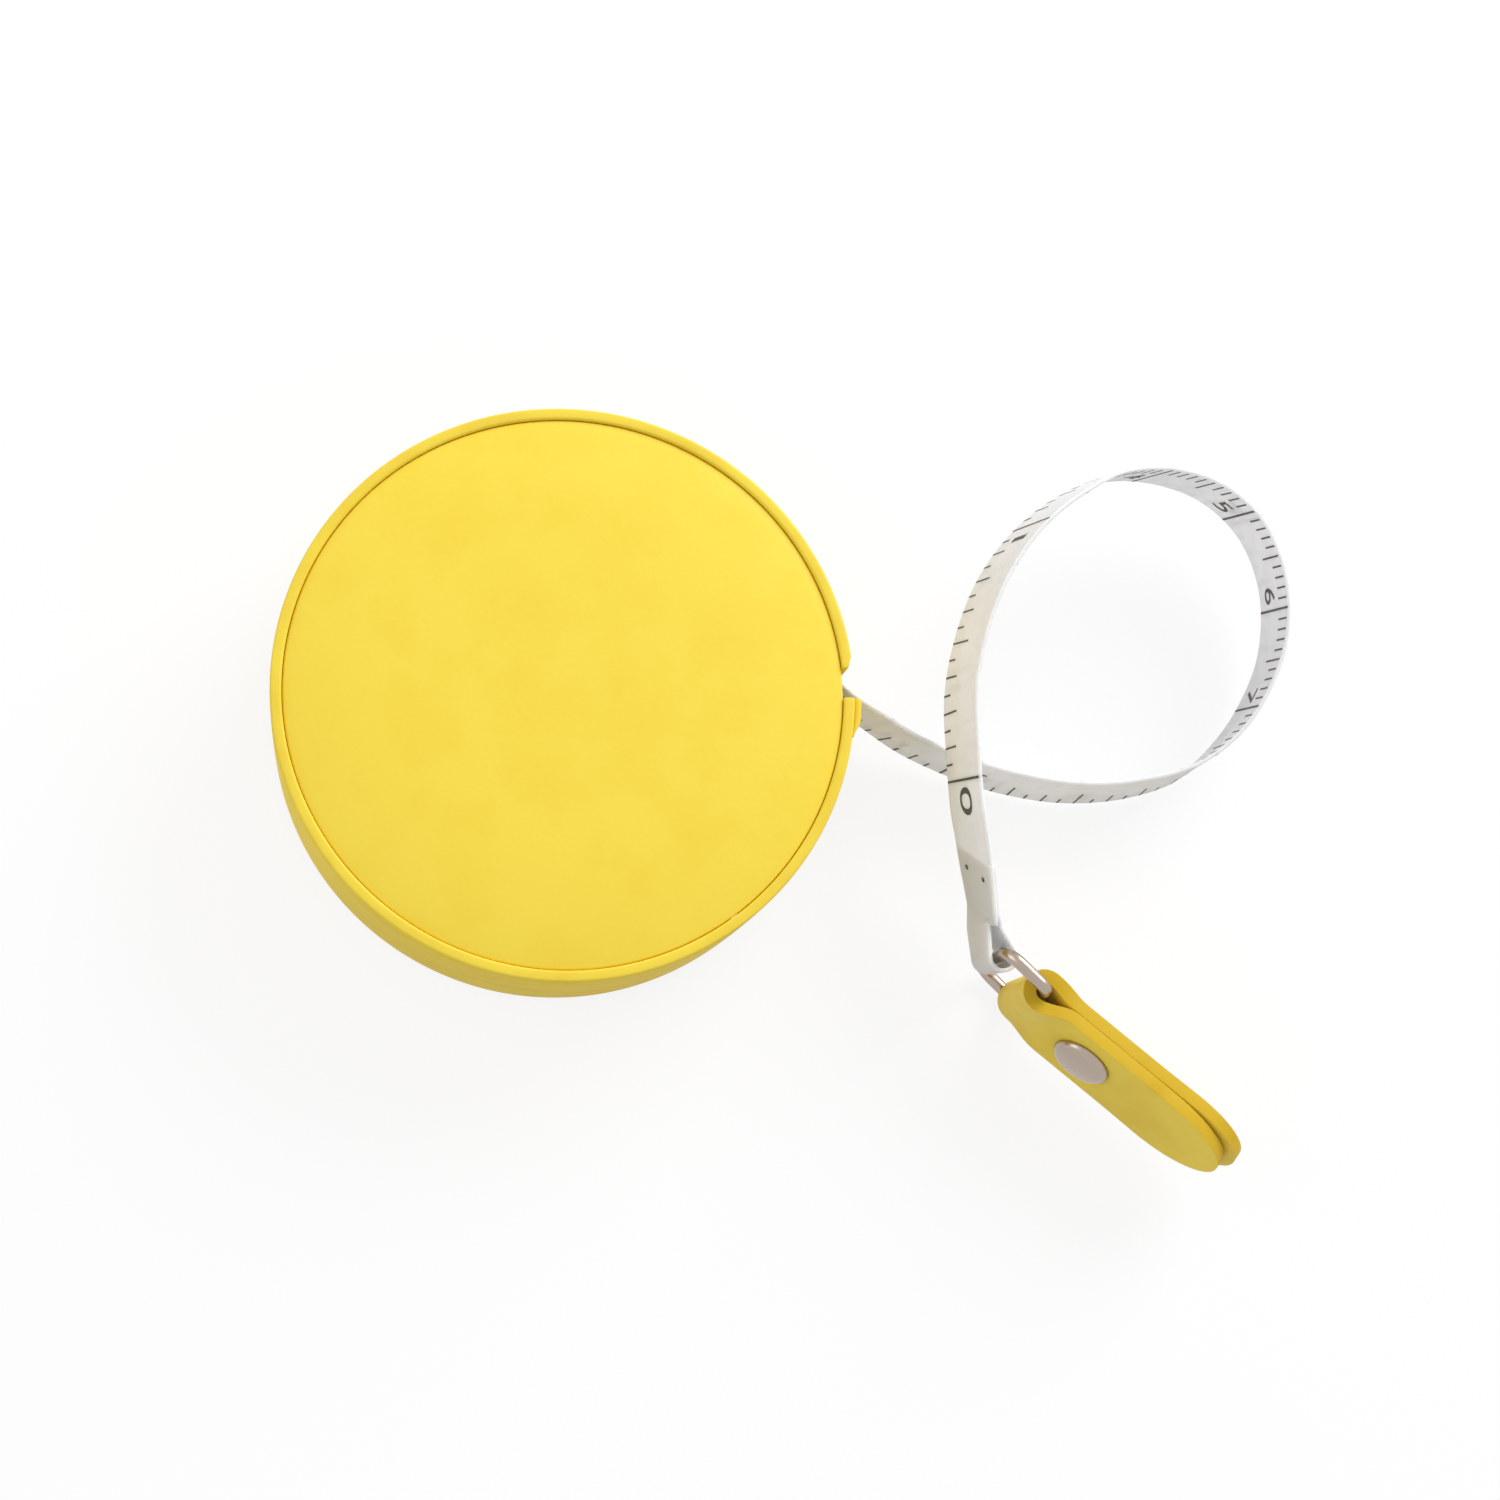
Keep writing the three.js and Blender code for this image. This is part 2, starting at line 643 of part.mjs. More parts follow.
function tapeRun() {
  const single = TAPE_THICKNESS / 2;
  const foldStart = routeLength - FOLD_LENGTH;
  const end = routeLength - LOOP_POINT + TAPE_THICKNESS;
  const steps = Math.round(foldStart / RIBBON_STEP);
  const sections = Array.from({ length: steps + 1 }, (_, i) => tapeSection((foldStart * i) / steps, single));
  const foldSteps = Math.ceil((end - foldStart) / RIBBON_STEP);
  for (let i = 0; i <= foldSteps; i += 1) {
    const distance = foldStart + STAPLE_GAP / 2 + ((end - foldStart - STAPLE_GAP / 2) * i) / foldSteps;
    sections.push(tapeSection(distance, doubledBack));
  }
  const inner = wireRadius + BAR_GAP;
  const outer = inner + TAPE_THICKNESS;
  const fold = prism(
    dropOutline(outer, LOOP_POINT),
    -TAPE_WIDTH / 2,
    TAPE_WIDTH / 2,
    dropOutline(inner, (LOOP_POINT * inner) / outer),
  );
  const back = tapeFrame(routeLength - LOOP_POINT).along.negate();
  fold.rotateZ(Math.atan2(back.y, back.x)).translate(tapeBar.x, tapeBar.y, tapeBar.z);
  const hole = STAPLE_WIRE / 2 + STAPLE_GAP;
  const holes = [-1, 1].map((side) => {
    const middle = (side * STAPLE_SPAN) / 2;
    const leg = box([-hole, -CUT_OVERRUN, middle - hole], [hole, doubledBack + CUT_OVERRUN, middle + hole]);
    return leg.applyMatrix4(stapleMatrix);
  });
  return cut(join(skinned(sections), fold), ...holes);
}

// Wire staple through the doubled tape: its bridge is behind and its leg ends show on the printed face.
function tapeStaple() {
  const reach = STAPLE_SPAN / 2 + STAPLE_WIRE / 2;
  const inside = STAPLE_SPAN / 2 - STAPLE_WIRE / 2;
  const bridge = doubledBack + STAPLE_GAP;
  const tip = -TAPE_THICKNESS / 2 - STAPLE_GAP;
  const outline = [
    [tip, -reach],
    [bridge + STAPLE_WIRE, -reach],
    [bridge + STAPLE_WIRE, reach],
    [tip, reach],
    [tip, inside],
    [bridge, inside],
    [bridge, -inside],
    [tip, -inside],
  ].map(([x, y]) => new THREE.Vector2(x, y));
  const wire = prism(outline, -STAPLE_WIRE / 2, STAPLE_WIRE / 2);
  const cyclic = new THREE.Matrix4().makeBasis(
    new THREE.Vector3(0, 1, 0),
    new THREE.Vector3(0, 0, 1),
    new THREE.Vector3(1, 0, 0),
  );
  return wire.applyMatrix4(cyclic).applyMatrix4(stapleMatrix);
}

// Ring: one length of round wire bent to a rectangle that stands upright, its tape side more rounded

function wireRing() {
  const half = RING_LEG_SPACING / 2;
  const corners = [
    [RING_BAR_SPACING - RING_TAB_CORNER, half - RING_TAB_CORNER, RING_TAB_CORNER, 0],
    [RING_TAPE_CORNER, half - RING_TAPE_CORNER, RING_TAPE_CORNER, 1],
    [RING_TAPE_CORNER, RING_TAPE_CORNER - half, RING_TAPE_CORNER, 2],
    [RING_BAR_SPACING - RING_TAB_CORNER, RING_TAB_CORNER - half, RING_TAB_CORNER, 3],
  ];
  const bendSteps = 6;
  const wireSides = 12;
  const sections = [];
  for (const [x, z, radius, quarter] of corners) {
    for (let i = 0; i <= bendSteps; i += 1) {
      const angle = ((quarter + i / bendSteps) * Math.PI) / 2;
      const outward = new THREE.Vector3(Math.cos(angle), 0, Math.sin(angle));
      const middle = new THREE.Vector3(x, 0, z).addScaledVector(outward, radius);
      const section = circlePoints(wireRadius, wireSides).map((p) =>
        middle.clone().addScaledVector(outward, p.x).add(new THREE.Vector3(0, p.y, 0)),
      );
      sections.push(section);
    }
  }
  return skinned(sections, true);
}

// Pull tab: one strip of leather folded round the ring's far bar, its two layers riveted together.
// In its own axes X runs to the tip, Y across the layers to the back and Z along the bar. Past the fold the
// layers meet in front of the bar's middle, so the back layer bends in further than the front one.

const tabLayerMiddle = (TAB_LAYER_GAP + TAB_THICKNESS) / 2;
const tabFront = TAB_LAYER_GAP / 2 + TAB_THICKNESS + TAB_SET_FORWARD;
const tabBack = TAB_LAYER_GAP / 2 + TAB_THICKNESS - TAB_SET_FORWARD;

// One layer's middle line from the fold to its tip, as distances from the bar's middle.
function tabHalfLine(layerMiddle) {
  const bend = wireRadius + BAR_GAP + TAB_THICKNESS / 2;
  const round = Math.SQRT1_2 * bend;
  const line = new THREE.SplineCurve([
    new THREE.Vector2(-bend, 0),
    new THREE.Vector2(-round, round),
    new THREE.Vector2(0, bend),
    new THREE.Vector2(TAB_PINCH / 2, (bend + layerMiddle) / 2),
    new THREE.Vector2(TAB_PINCH, layerMiddle),
    new THREE.Vector2(RIVET_FROM_BAR, layerMiddle),
    new THREE.Vector2(RIVET_FROM_BAR + RIVET_CAP_RADIUS + 1, layerMiddle),
    new THREE.Vector2(TAB_REACH, layerMiddle + TAB_TIP_SPLAY),
  ]);
  return line.getSpacedPoints(30);
}

// A layer's outline with its tapering round tip, as a block that reaches from one Y to another.
function tabOutline(reach, low, high) {
  const tipStart = reach - TAB_TIP_LENGTH;
  const plan = [new THREE.Vector2(-TAB_WIDTH, -TAB_WIDTH), new THREE.Vector2(tipStart, -TAB_WIDTH)];
  for (let i = 0; i <= SMALL_STEPS; i += 1) {
    const angle = -Math.PI / 2 + (Math.PI * i) / SMALL_STEPS;
    plan.push(new THREE.Vector2(
      tipStart + TAB_TIP_LENGTH * Math.cos(angle),
      (TAB_WIDTH / 2) * Math.sin(angle),
    ));
  }
  plan.push(new THREE.Vector2(tipStart, TAB_WIDTH), new THREE.Vector2(-TAB_WIDTH, TAB_WIDTH));
  return prism(plan, -high, -low).rotateX(Math.PI / 2);
}

function pullTab() {
  const back = tabHalfLine(tabLayerMiddle - TAB_SET_FORWARD);
  const front = tabHalfLine(tabLayerMiddle + TAB_SET_FORWARD);
  const mirrored = front.slice(1).reverse().map((p) => new THREE.Vector2(p.x, -p.y));
  const line = [...mirrored, ...back];
  const sections = line.map((point, i) => {
    const before = line[Math.max(0, i - 1)];
    const after = line[Math.min(line.length - 1, i + 1)];
    const along = after.clone().sub(before).normalize();
    const across = new THREE.Vector2(-along.y, along.x).multiplyScalar(TAB_THICKNESS / 2);
    const corner = (side, edge) => {
      const place = point.clone().addScaledVector(across, side);
      return new THREE.Vector3(place.x, place.y, (edge * TAB_WIDTH) / 2);
    };
    return [corner(-1, -1), corner(1, -1), corner(1, 1), corner(-1, 1)];
  });
  const strip = toSolid(skinned(sections));
  const outline = join(
    tabOutline(TAB_REACH - TAB_FRONT_SHORTER, -TAB_WIDTH, -TAB_SET_FORWARD),
    tabOutline(TAB_REACH, -TAB_SET_FORWARD, TAB_WIDTH),
  );
  const holeRadius = RIVET_POST_RADIUS + RIVET_GAP;
  const holeOutline = [[0, -TAB_WIDTH], [holeRadius, -TAB_WIDTH], [holeRadius, TAB_WIDTH], [0, TAB_WIDTH]];
  const postHole = turned(holeOutline, SMALL_STEPS);
  postHole.rotateX(Math.PI / 2).translate(RIVET_FROM_BAR, 0, 0);
  const geometry = toGeometry(strip.intersect(toSolid(outline)).subtract(toSolid(postHole)));
  return leaned(geometry);
}

// The tab hangs square on the bar and leans over further along, its upper edge towards +Y.
function leaned(geometry) {
  const place = geometry.getAttribute('position');
  for (let i = 0; i < place.count; i += 1) {
    const turn = TAB_LEAN * THREE.MathUtils.smoothstep(place.getX(i), 0, TAB_PINCH);
    const y = place.getY(i) * Math.cos(turn) + place.getZ(i) * Math.sin(turn);
    const z = place.getZ(i) * Math.cos(turn) - place.getY(i) * Math.sin(turn);
    place.setY(i, y);
    place.setZ(i, z);
  }
  return geometry;
}

// Rivet, turned about the line through both layers, its domed cap on the side that shows

function rivetCap() {
  const seat = tabFront + RIVET_GAP;
  const rim = seat + RIVET_CAP_RIM;
  const socket = RIVET_POST_RADIUS + RIVET_GAP;
  const outline = [
    [0, seat + RIVET_SOCKET],
    [socket, seat + RIVET_SOCKET],
    [socket, seat],
    [RIVET_CAP_RADIUS, seat],
  ];
  const domeSteps = 6;
  for (let i = 0; i <= domeSteps; i += 1) {
    const angle = ((i / domeSteps) * Math.PI) / 2;
    outline.push([RIVET_CAP_RADIUS * Math.cos(angle), rim + RIVET_CAP_DOME * Math.sin(angle)]);
  }
  outline[outline.length - 1][0] = 0;
  return turned(outline, SMALL_STEPS).rotateX(Math.PI / 2);
}

function rivetPost() {
  const flangeFront = -tabBack - RIVET_GAP;
  const flangeBack = flangeFront - RIVET_FLANGE_THICKNESS;
  const end = tabFront + RIVET_SOCKET;
  return turned(
    [
      [0, flangeBack],
      [RIVET_FLANGE_RADIUS, flangeBack],
      [RIVET_FLANGE_RADIUS, flangeFront],
      [RIVET_POST_RADIUS, flangeFront],
      [RIVET_POST_RADIUS, end],
      [0, end],
    ],
    SMALL_STEPS,
  ).rotateX(Math.PI / 2);
}

// Assembly

add('front_cover', frontCover(), yellowLeather);
add('front_pad', frontPad(), foam);
add('front_casing', frontCasing(), casingPlastic);
add('back_casing', backCasing(), casingPlastic);
add('back_cover', backCover(), yellowLeather);
add('rim_band', rimBand(), bandLeather);
add('spring_arbor', springArbor(), reelPlastic);
add('arbor_screw', arborScrew(), brightSteel);
add('mainspring', mainspring(), springSteel);
add('reel_drum', reelDrum(), reelPlastic);
add('reel_lid', reelLid(), reelPlastic);
add('tape_winding', tapeWinding(windingRadius, leaving.angle), tapeCloth);
add('press_button', pressButton(), buttonPlastic);
add('brake_plate', brakePlate(), buttonPlastic);
add('brake_ring', brakeRing(), brakeRubber);
add('brake_spring', brakeSpring(), springSteel);
add('tape_run', tapeRun(), tapeCloth);
add('tape_end_staple', tapeStaple(), brightSteel);

const ringGroup = new THREE.Group();
ringGroup.position.copy(tapeBar);
ringGroup.rotation.z = RING_DIRECTION;
tapeMeasure.add(ringGroup);
add('d_ring', wireRing(), nickel, ringGroup);

const tabGroup = new THREE.Group();
tabGroup.position.set(
  tapeBar.x + RING_BAR_SPACING * Math.cos(RING_DIRECTION),
  tapeBar.y + RING_BAR_SPACING * Math.sin(RING_DIRECTION),
  tapeBar.z,
);
tabGroup.rotation.z = TAB_DIRECTION;
tapeMeasure.add(tabGroup);
add('pull_tab', pullTab(), bandLeather, tabGroup);

const rivetGroup = new THREE.Group();
rivetGroup.position.x = RIVET_FROM_BAR;
rivetGroup.rotation.x = -TAB_LEAN;
tabGroup.add(rivetGroup);
add('rivet_cap', rivetCap(), nickel, rivetGroup);
add('rivet_post', rivetPost(), nickel, rivetGroup);

export default tapeMeasure;
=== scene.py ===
"""Pocket tape measure: a leather case, a printed cloth tape, a wire ring and a riveted leather pull tab."""

import logging
from bisect import bisect_right
from dataclasses import dataclass, field
from enum import Enum
from math import acos, asin, atan2, ceil, cos, hypot, pi, radians, sin, sqrt, tau
from typing import Any, Sequence

import bmesh
import bpy
from mathutils import Matrix, Vector


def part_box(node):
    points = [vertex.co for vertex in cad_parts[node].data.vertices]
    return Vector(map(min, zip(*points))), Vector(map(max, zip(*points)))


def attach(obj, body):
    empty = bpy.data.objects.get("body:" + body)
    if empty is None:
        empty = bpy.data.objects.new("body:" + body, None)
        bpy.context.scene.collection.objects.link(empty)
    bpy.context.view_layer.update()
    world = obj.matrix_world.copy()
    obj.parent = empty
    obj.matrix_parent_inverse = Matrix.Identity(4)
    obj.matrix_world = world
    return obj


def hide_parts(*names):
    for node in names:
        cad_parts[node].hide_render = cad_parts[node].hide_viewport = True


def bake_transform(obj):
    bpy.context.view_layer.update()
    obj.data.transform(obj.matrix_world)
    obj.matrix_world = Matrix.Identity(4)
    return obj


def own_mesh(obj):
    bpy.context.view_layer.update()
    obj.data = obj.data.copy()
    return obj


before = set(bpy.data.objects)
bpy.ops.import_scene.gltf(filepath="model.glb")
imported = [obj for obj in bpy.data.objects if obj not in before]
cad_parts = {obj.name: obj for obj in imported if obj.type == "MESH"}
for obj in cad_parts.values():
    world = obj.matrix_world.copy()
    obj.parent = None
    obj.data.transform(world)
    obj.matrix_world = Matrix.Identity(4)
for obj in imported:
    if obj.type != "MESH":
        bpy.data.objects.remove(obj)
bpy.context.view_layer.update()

LOG = logging.getLogger("tape_measure")

Piece = bpy.types.Object
Material = bpy.types.Material
NodeTree = bpy.types.NodeTree
Socket = bpy.types.NodeSocket

# Lengths are in metres, so a size in millimetres is written with MM.
MM = 0.001

# Vertices that are closer together than this are one.
MERGE = 0.0005 * MM

# Straight up, as the case lies on its back.
UP = Vector((0.0, 0.0, 1.0))

# Most of a noise lies between these values.
NOISE_SPREAD = {"From Min": 0.3, "From Max": 0.7}

# Height of a digit where the size of the text is one.
DIGIT_HEIGHT = 0.69


class Body(Enum):
    """Bodies that the pieces ride on."""

    CASE = "case"
    REEL = "reel"
    BUTTON = "button"
    RING = "ring"
    TAB = "tab"


class Slot(Enum):
    """Material slots of the record that the new pieces belong to."""

    COVER = "cover_leather"
    BAND = "band_leather"
    TAB = "tab_leather"
    FOAM = "foam"
    CLOTH = "tape_cloth"
    NICKEL = "nickel"
    STEEL = "spring_steel"


# Shared helpers


def linear(colour: str) -> tuple[float, float, float, float]:
    """Turns an sRGB hex colour to linear light.

    Args:
        colour: six hex digits after a hash.

    Returns:
        Red, green, blue and an alpha of one.
    """
    parts = [int(colour[place:place + 2], 16) / 255 for place in (1, 3, 5)]
    red, green, blue = [
        part / 12.92 if part <= 0.04045 else ((part + 0.055) / 1.055) ** 2.4 for part in parts
    ]
    return red, green, blue, 1.0


def smoothstep(value: float, low: float, high: float) -> float:
    """Eases a value from 0 at the low end to 1 at the high end."""
    share = min(1.0, max(0.0, (value - low) / (high - low)))
    return share * share * (3 - 2 * share)


def arc(first: float, last: float, steps: int) -> list[tuple[float, float]]:
    """Gives the cosine and sine of evenly spaced angles, with both ends."""
    angles = [first + (last - first) * step / steps for step in range(steps + 1)]
    return [(cos(angle), sin(angle)) for angle in angles]


def link_object(name: str, data: bpy.types.ID) -> Piece:
    """Puts a new object with this data in the scene.

    Args:
        name: the object's name.
        data: its mesh, lens or lamp.

    Returns:
        The new object.
    """
    linked = bpy.data.objects.new(name, data)
    bpy.context.scene.collection.objects.link(linked)
    return linked


def clear_selection() -> None:
    """Leaves edit mode with nothing selected."""
    if bpy.context.mode != "OBJECT":
        bpy.ops.object.mode_set(mode="OBJECT")
    bpy.ops.object.select_all(action="DESELECT")


def select_only(piece: Piece) -> None:
    """Selects one piece and makes it the active one."""
    clear_selection()
    piece.select_set(True)
    bpy.context.view_layer.objects.active = piece


def begin_vertex(name: str, place: Vector) -> Piece:
    """Begins a piece as one selected vertex, in edit mode.

    Args:
        name: the piece's name.
        place: where the vertex is.

    Returns:
        The new piece.
    """
    clear_selection()
    bpy.ops.mesh.primitive_plane_add(size=MM)
    piece = bpy.context.active_object
    piece.name = name
    piece.data.name = name
    bpy.ops.object.mode_set(mode="EDIT")
    bpy.ops.mesh.select_all(action="SELECT")
    bpy.ops.mesh.merge(type="CENTER")
    bpy.ops.transform.translate(value=place)
    return piece


def extrude_by(step: Vector) -> None:
    """Extrudes what is selected in edit mode by one step."""
    bpy.ops.mesh.extrude_region_move(TRANSFORM_OT_translate={"value": step})


def turn_out() -> None:
    """Points all faces outwards in edit mode and goes back to object mode."""
    bpy.ops.mesh.select_all(action="SELECT")
    bpy.ops.mesh.normals_make_consistent(inside=False)
    bpy.ops.object.mode_set(mode="OBJECT")


def close_and_turn_out() -> None:
    """Merges doubled vertices in edit mode, then points the faces outwards."""
    bpy.ops.mesh.select_all(action="SELECT")
    bpy.ops.mesh.remove_doubles(threshold=MERGE)
    turn_out()


def turn(
    name: str,
    outline: Sequence[tuple[float, float]],
    steps: int,
    start: float = 0.0,
    sweep: float = tau,
    closed: bool = False,
) -> Piece:
    """Turns an outline about the Z axis, anticlockwise from above.

    Args:
        name: the piece's name.
        outline: radius and height of each corner, in order.
        steps: facets of the sweep.
        start: angle of the first section.
        sweep: angle turned through.
        closed: whether the outline is a closed section, which then also caps both ends.

    Returns:
        The turned piece, closed.
    """
    corners = [Vector((radius * cos(start), radius * sin(start), height)) for radius, height in outline]
    piece = begin_vertex(name, corners[0])
    for before, after in zip(corners, corners[1:]):
        extrude_by(after - before)
    bpy.ops.mesh.select_all(action="SELECT")
    if closed:
        bpy.ops.mesh.edge_face_add()
    bpy.ops.mesh.spin(steps=steps, angle=sweep, center=(0.0, 0.0, 0.0), axis=(0.0, 0.0, -1.0))
    close_and_turn_out()
    return piece


def rounded_section(
    inner: float, outer: float, bottom: float, top: float, corner: float, bulge: float = 0.0
) -> list[tuple[float, float]]:
    """Outline of a strip's section with rounded corners.

    Args:
        inner: inner radius.
        outer: outer radius.
        bottom: lowest height.
        top: highest height.
        corner: radius of the corners.
        bulge: how far the middle of the outer side swells.

    Returns:
        Radius and height of each corner point.
    """
    outline = []
    centres = [
        (outer - corner, bottom + corner, -pi / 2),
        (outer - corner, top - corner, 0.0),
        (inner + corner, top - corner, pi / 2),
        (inner + corner, bottom + corner, pi),
    ]
    for radius, height, first in centres:
        for out, up in arc(first, first + pi / 2, steps=4):
            outline.append((radius + corner * out, height + corner * up))
        if first < 0:
            for share in (0.2, 0.4, 0.6, 0.8):
                swell = bulge * (1 - (2 * share - 1) ** 2)
                outline.append((outer + swell, bottom + corner + (top - bottom - 2 * corner) * share))
    return outline


def move_out(corner: bpy.types.MeshVertex, radius: float) -> None:
    """Moves a vertex level, straight from or to the Z axis, until it has this radius."""
    share = radius / hypot(corner.co.x, corner.co.y)
    corner.co.x *= share
    corner.co.y *= share


def round_edges(piece: Piece, width: float, segments: int = 3, sharp: float = 60.0) -> None:
    """Rounds the sharp edges of a piece with an applied bevel.

    Args:
        piece: the piece.
        width: how far the rounding reaches.
        segments: facets of the rounding.
        sharp: the angle, in degrees, past which an edge is rounded.
    """
    select_only(piece)
    bevel = piece.modifiers.new("edge_round", "BEVEL")
    bevel.width = width
    bevel.segments = segments
    bevel.limit_method = "ANGLE"
    bevel.angle_limit = radians(sharp)
    bpy.ops.object.modifier_apply(modifier=bevel.name)


def place_piece(piece: Piece, place: Matrix) -> None:
    """Moves a piece to its place and keeps that place in its mesh."""
    select_only(piece)
    piece.matrix_world = place
    bpy.ops.object.transform_apply(location=True, rotation=True, scale=True)


def shade_smooth(piece: Piece, angle: float = 40.0) -> None:
    """Shades a piece smooth except across edges sharper than the angle, in degrees."""
    select_only(piece)
    bpy.ops.object.shade_smooth_by_angle(angle=radians(angle))


def dress(piece: Piece, body: Body, slot: Slot, *finishes: Material) -> None:
    """Gives a new piece its finishes and the body that it rides on.

    Args:
        piece: the piece, in its place.
        body: what it moves with.
        slot: the record's material slot; not used.
        *finishes: its materials, in the order of its faces' numbers.
    """
    paint(piece, *finishes)
    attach(piece, body.value)


def paint(piece: Piece, *finishes: Material) -> None:
    """Puts finishes in a piece's material slots and reports the piece.

    Args:
        piece: the piece.
        *finishes: its materials, in the order of its faces' numbers.
    """
    slots = piece.data.materials
    for place, finish in enumerate(finishes):
        if place < len(slots):
            slots[place] = finish
        else:
            slots.append(finish)
    names = ", ".join(finish.name for finish in finishes)
    LOG.info("%s: %d faces, %s", piece.name, len(piece.data.polygons), names)


# Finishes


def add_node(
    tree: NodeTree, kind: str, output: str | int, inputs: dict[Any, Any], **settings: Any
) -> Socket:
    """Adds a shader node with its settings, values and links.

    Args:
        tree: the material's node tree.
        kind: the node's type, without its common beginning.
        output: name or number of the output that is wanted.
        inputs: a value or an output socket for each input, by name or number.
        **settings: the node's own properties.

    Returns:
        The wanted output of the new node.
    """
    node = tree.nodes.new("ShaderNode" + kind)
    for name, setting in settings.items():
        setattr(node, name, setting)
    for name, value in inputs.items():
        if isinstance(value, Socket):
            tree.links.new(value, node.inputs[name])
        else:
            node.inputs[name].default_value = value
    return node.outputs[output]


def new_material(name: str, **constants: Any) -> tuple[Material, NodeTree, bpy.types.Node]:
    """Starts a material with one shader.

    Args:
        name: what the real material is.
        **constants: values of the shader that are the same all over, with underscores for spaces.

    Returns:
        The material, its node tree and its shader.
    """
    material = bpy.data.materials.new(name)
    material.use_nodes = True
    tree = material.node_tree
    shader = tree.nodes["Principled BSDF"]
    for socket, value in constants.items():
        shader.inputs[socket.replace("_", " ")].default_value = value
    return material, tree, shader


def feed(tree: NodeTree, node: bpy.types.Node, **outputs: Socket) -> None:
    """Links outputs to a node's inputs, whose names have underscores for spaces."""
    for socket, output in outputs.items():
        tree.links.new(output, node.inputs[socket.replace("_", " ")])


def clouded(
    tree: NodeTree, noise: Socket, colour: str, second: str, low: float = 0.0, high: float = 1.0
) -> Socket:
    """Lets a noise blend one colour into another.

    Args:
        tree: the material's node tree.
        noise: the noise.
        colour: the first colour.
        second: the second colour.
        low: value of the noise where the second colour begins.
        high: its value where the second colour is full.

    Returns:
        The blended colour.
    """
    share = add_node(tree, "MapRange", "Result", {"Value": noise, "From Min": low, "From Max": high})
    ends = {6: linear(colour), 7: linear(second)}
    return add_node(tree, "Mix", 2, {"Factor": share, **ends}, data_type="RGBA")


@dataclass(frozen=True)
class Finish:
    """What every finish has.

    Attributes:
        name: what the real material is.
        colour: its main colour.
    """

    name: str
    colour: str


@dataclass(frozen=True)
class DyedLeather(Finish):
    """Calf leather, drum dyed and lightly coated: an even, softly clouded colour with a fine flat grain.

    Attributes:
        deep: the colour of its darker clouds.
        cloud: size of the clouds along X, Y and Z.
        grain: width of a grain cell. Real cells of about 0.2 mm are drawn this much coarser, to show.
        pore: spacing of the pores.
        depth: height of the grain.
        roughness: middle value of its roughness.
        uneven: how far the roughness strays from that.
        shine: strength of its reflection.
    """

    deep: str
    cloud: tuple[float, float, float] = (7 * MM, 7 * MM, 7 * MM)
    grain: float = 0.42 * MM
    pore: float = 0.16 * MM
    depth: float = 0.012 * MM
    roughness: float = 0.5
    uneven: float = 0.06
    shine: float = 0.3

    def make(self) -> Material:
        """Makes the material."""
        material, tree, shader = new_material(self.name, IOR=1.47, Specular_IOR_Level=self.shine)
        place = add_node(tree, "TexCoord", "Object", {})
        scale = tuple(1 / size for size in self.cloud)
        spread = add_node(tree, "Mapping", "Vector", {"Vector": place, "Scale": scale})
        clouds = add_node(
            tree, "TexNoise", "Fac", {"Vector": spread, "Scale": 1.0, "Detail": 5.0, "Roughness": 0.6}
        )
        colour = clouded(tree, clouds, self.colour, self.deep, low=0.42, high=0.78)
        cells = add_node(
            tree, "TexVoronoi", "Distance", {"Vector": place, "Scale": 1 / self.grain, "Smoothness": 0.7},
            feature="SMOOTH_F1",
        )
        pores = add_node(tree, "TexNoise", "Fac", {"Vector": place, "Scale": 1 / self.pore, "Detail": 2.0})
        relief = add_node(tree, "Math", "Value", {0: pores, 1: 0.35, 2: cells}, operation="MULTIPLY_ADD")
        ends = {"To Min": self.roughness - self.uneven, "To Max": self.roughness + self.uneven}
        gloss = add_node(tree, "MapRange", "Result", {"Value": pores, **NOISE_SPREAD, **ends})
        bumps = add_node(tree, "Bump", "Normal", {"Height": relief, "Strength": 0.6, "Distance": self.depth})
        feed(tree, shader, Base_Color=colour, Roughness=gloss, Normal=bumps)
        return material


@dataclass(frozen=True)
class CoatedCloth(Finish):
    """Cotton tape, woven and coated: a matt off-white with a plain weave and slight yellowing.

    Attributes:
        aged: the colour of its yellowed parts.
        thread: spacing of the threads, in the millimetres of the tape's UV map.
        depth: height of the threads.
        soak: how far light travels in it.
    """

    aged: str
    thread: float = 0.42
    depth: float = 0.012 * MM
    soak: float = 0.8 * MM

    def make(self) -> Material:
        """Makes the material, whose weave follows the tape's UV map in millimetres."""
        material, tree, shader = new_material(
            self.name, Subsurface_Weight=1.0, Subsurface_Radius=(1.0, 1.0, 0.95), Subsurface_Scale=self.soak
        )
        spread = add_node(tree, "TexCoord", "UV", {})
        axes = add_node(tree, "SeparateXYZ", "X", {"Vector": spread}).node.outputs
        waves = []
        for axis in ("X", "Y"):
            threads = {0: axes[axis], 1: tau / self.thread}
            turns = add_node(tree, "Math", "Value", threads, operation="MULTIPLY")
            waves.append(add_node(tree, "Math", "Value", {0: turns}, operation="SINE"))
        weave = add_node(tree, "Math", "Value", dict(enumerate(waves)), operation="MULTIPLY")
        slubs = add_node(
            tree, "TexNoise", "Fac", {"Vector": spread, "Scale": 0.35, "Detail": 5.0, "Roughness": 0.65}
        )
        colour = clouded(tree, slubs, self.colour, self.aged, low=0.4, high=0.75)
        ends = {"To Min": 0.62, "To Max": 0.78}
        gloss = add_node(tree, "MapRange", "Result", {"Value": slubs, **NOISE_SPREAD, **ends})
        bumps = add_node(tree, "Bump", "Normal", {"Height": weave, "Strength": 0.35, "Distance": self.depth})
        feed(tree, shader, Base_Color=colour, Roughness=gloss, Normal=bumps)
        return material


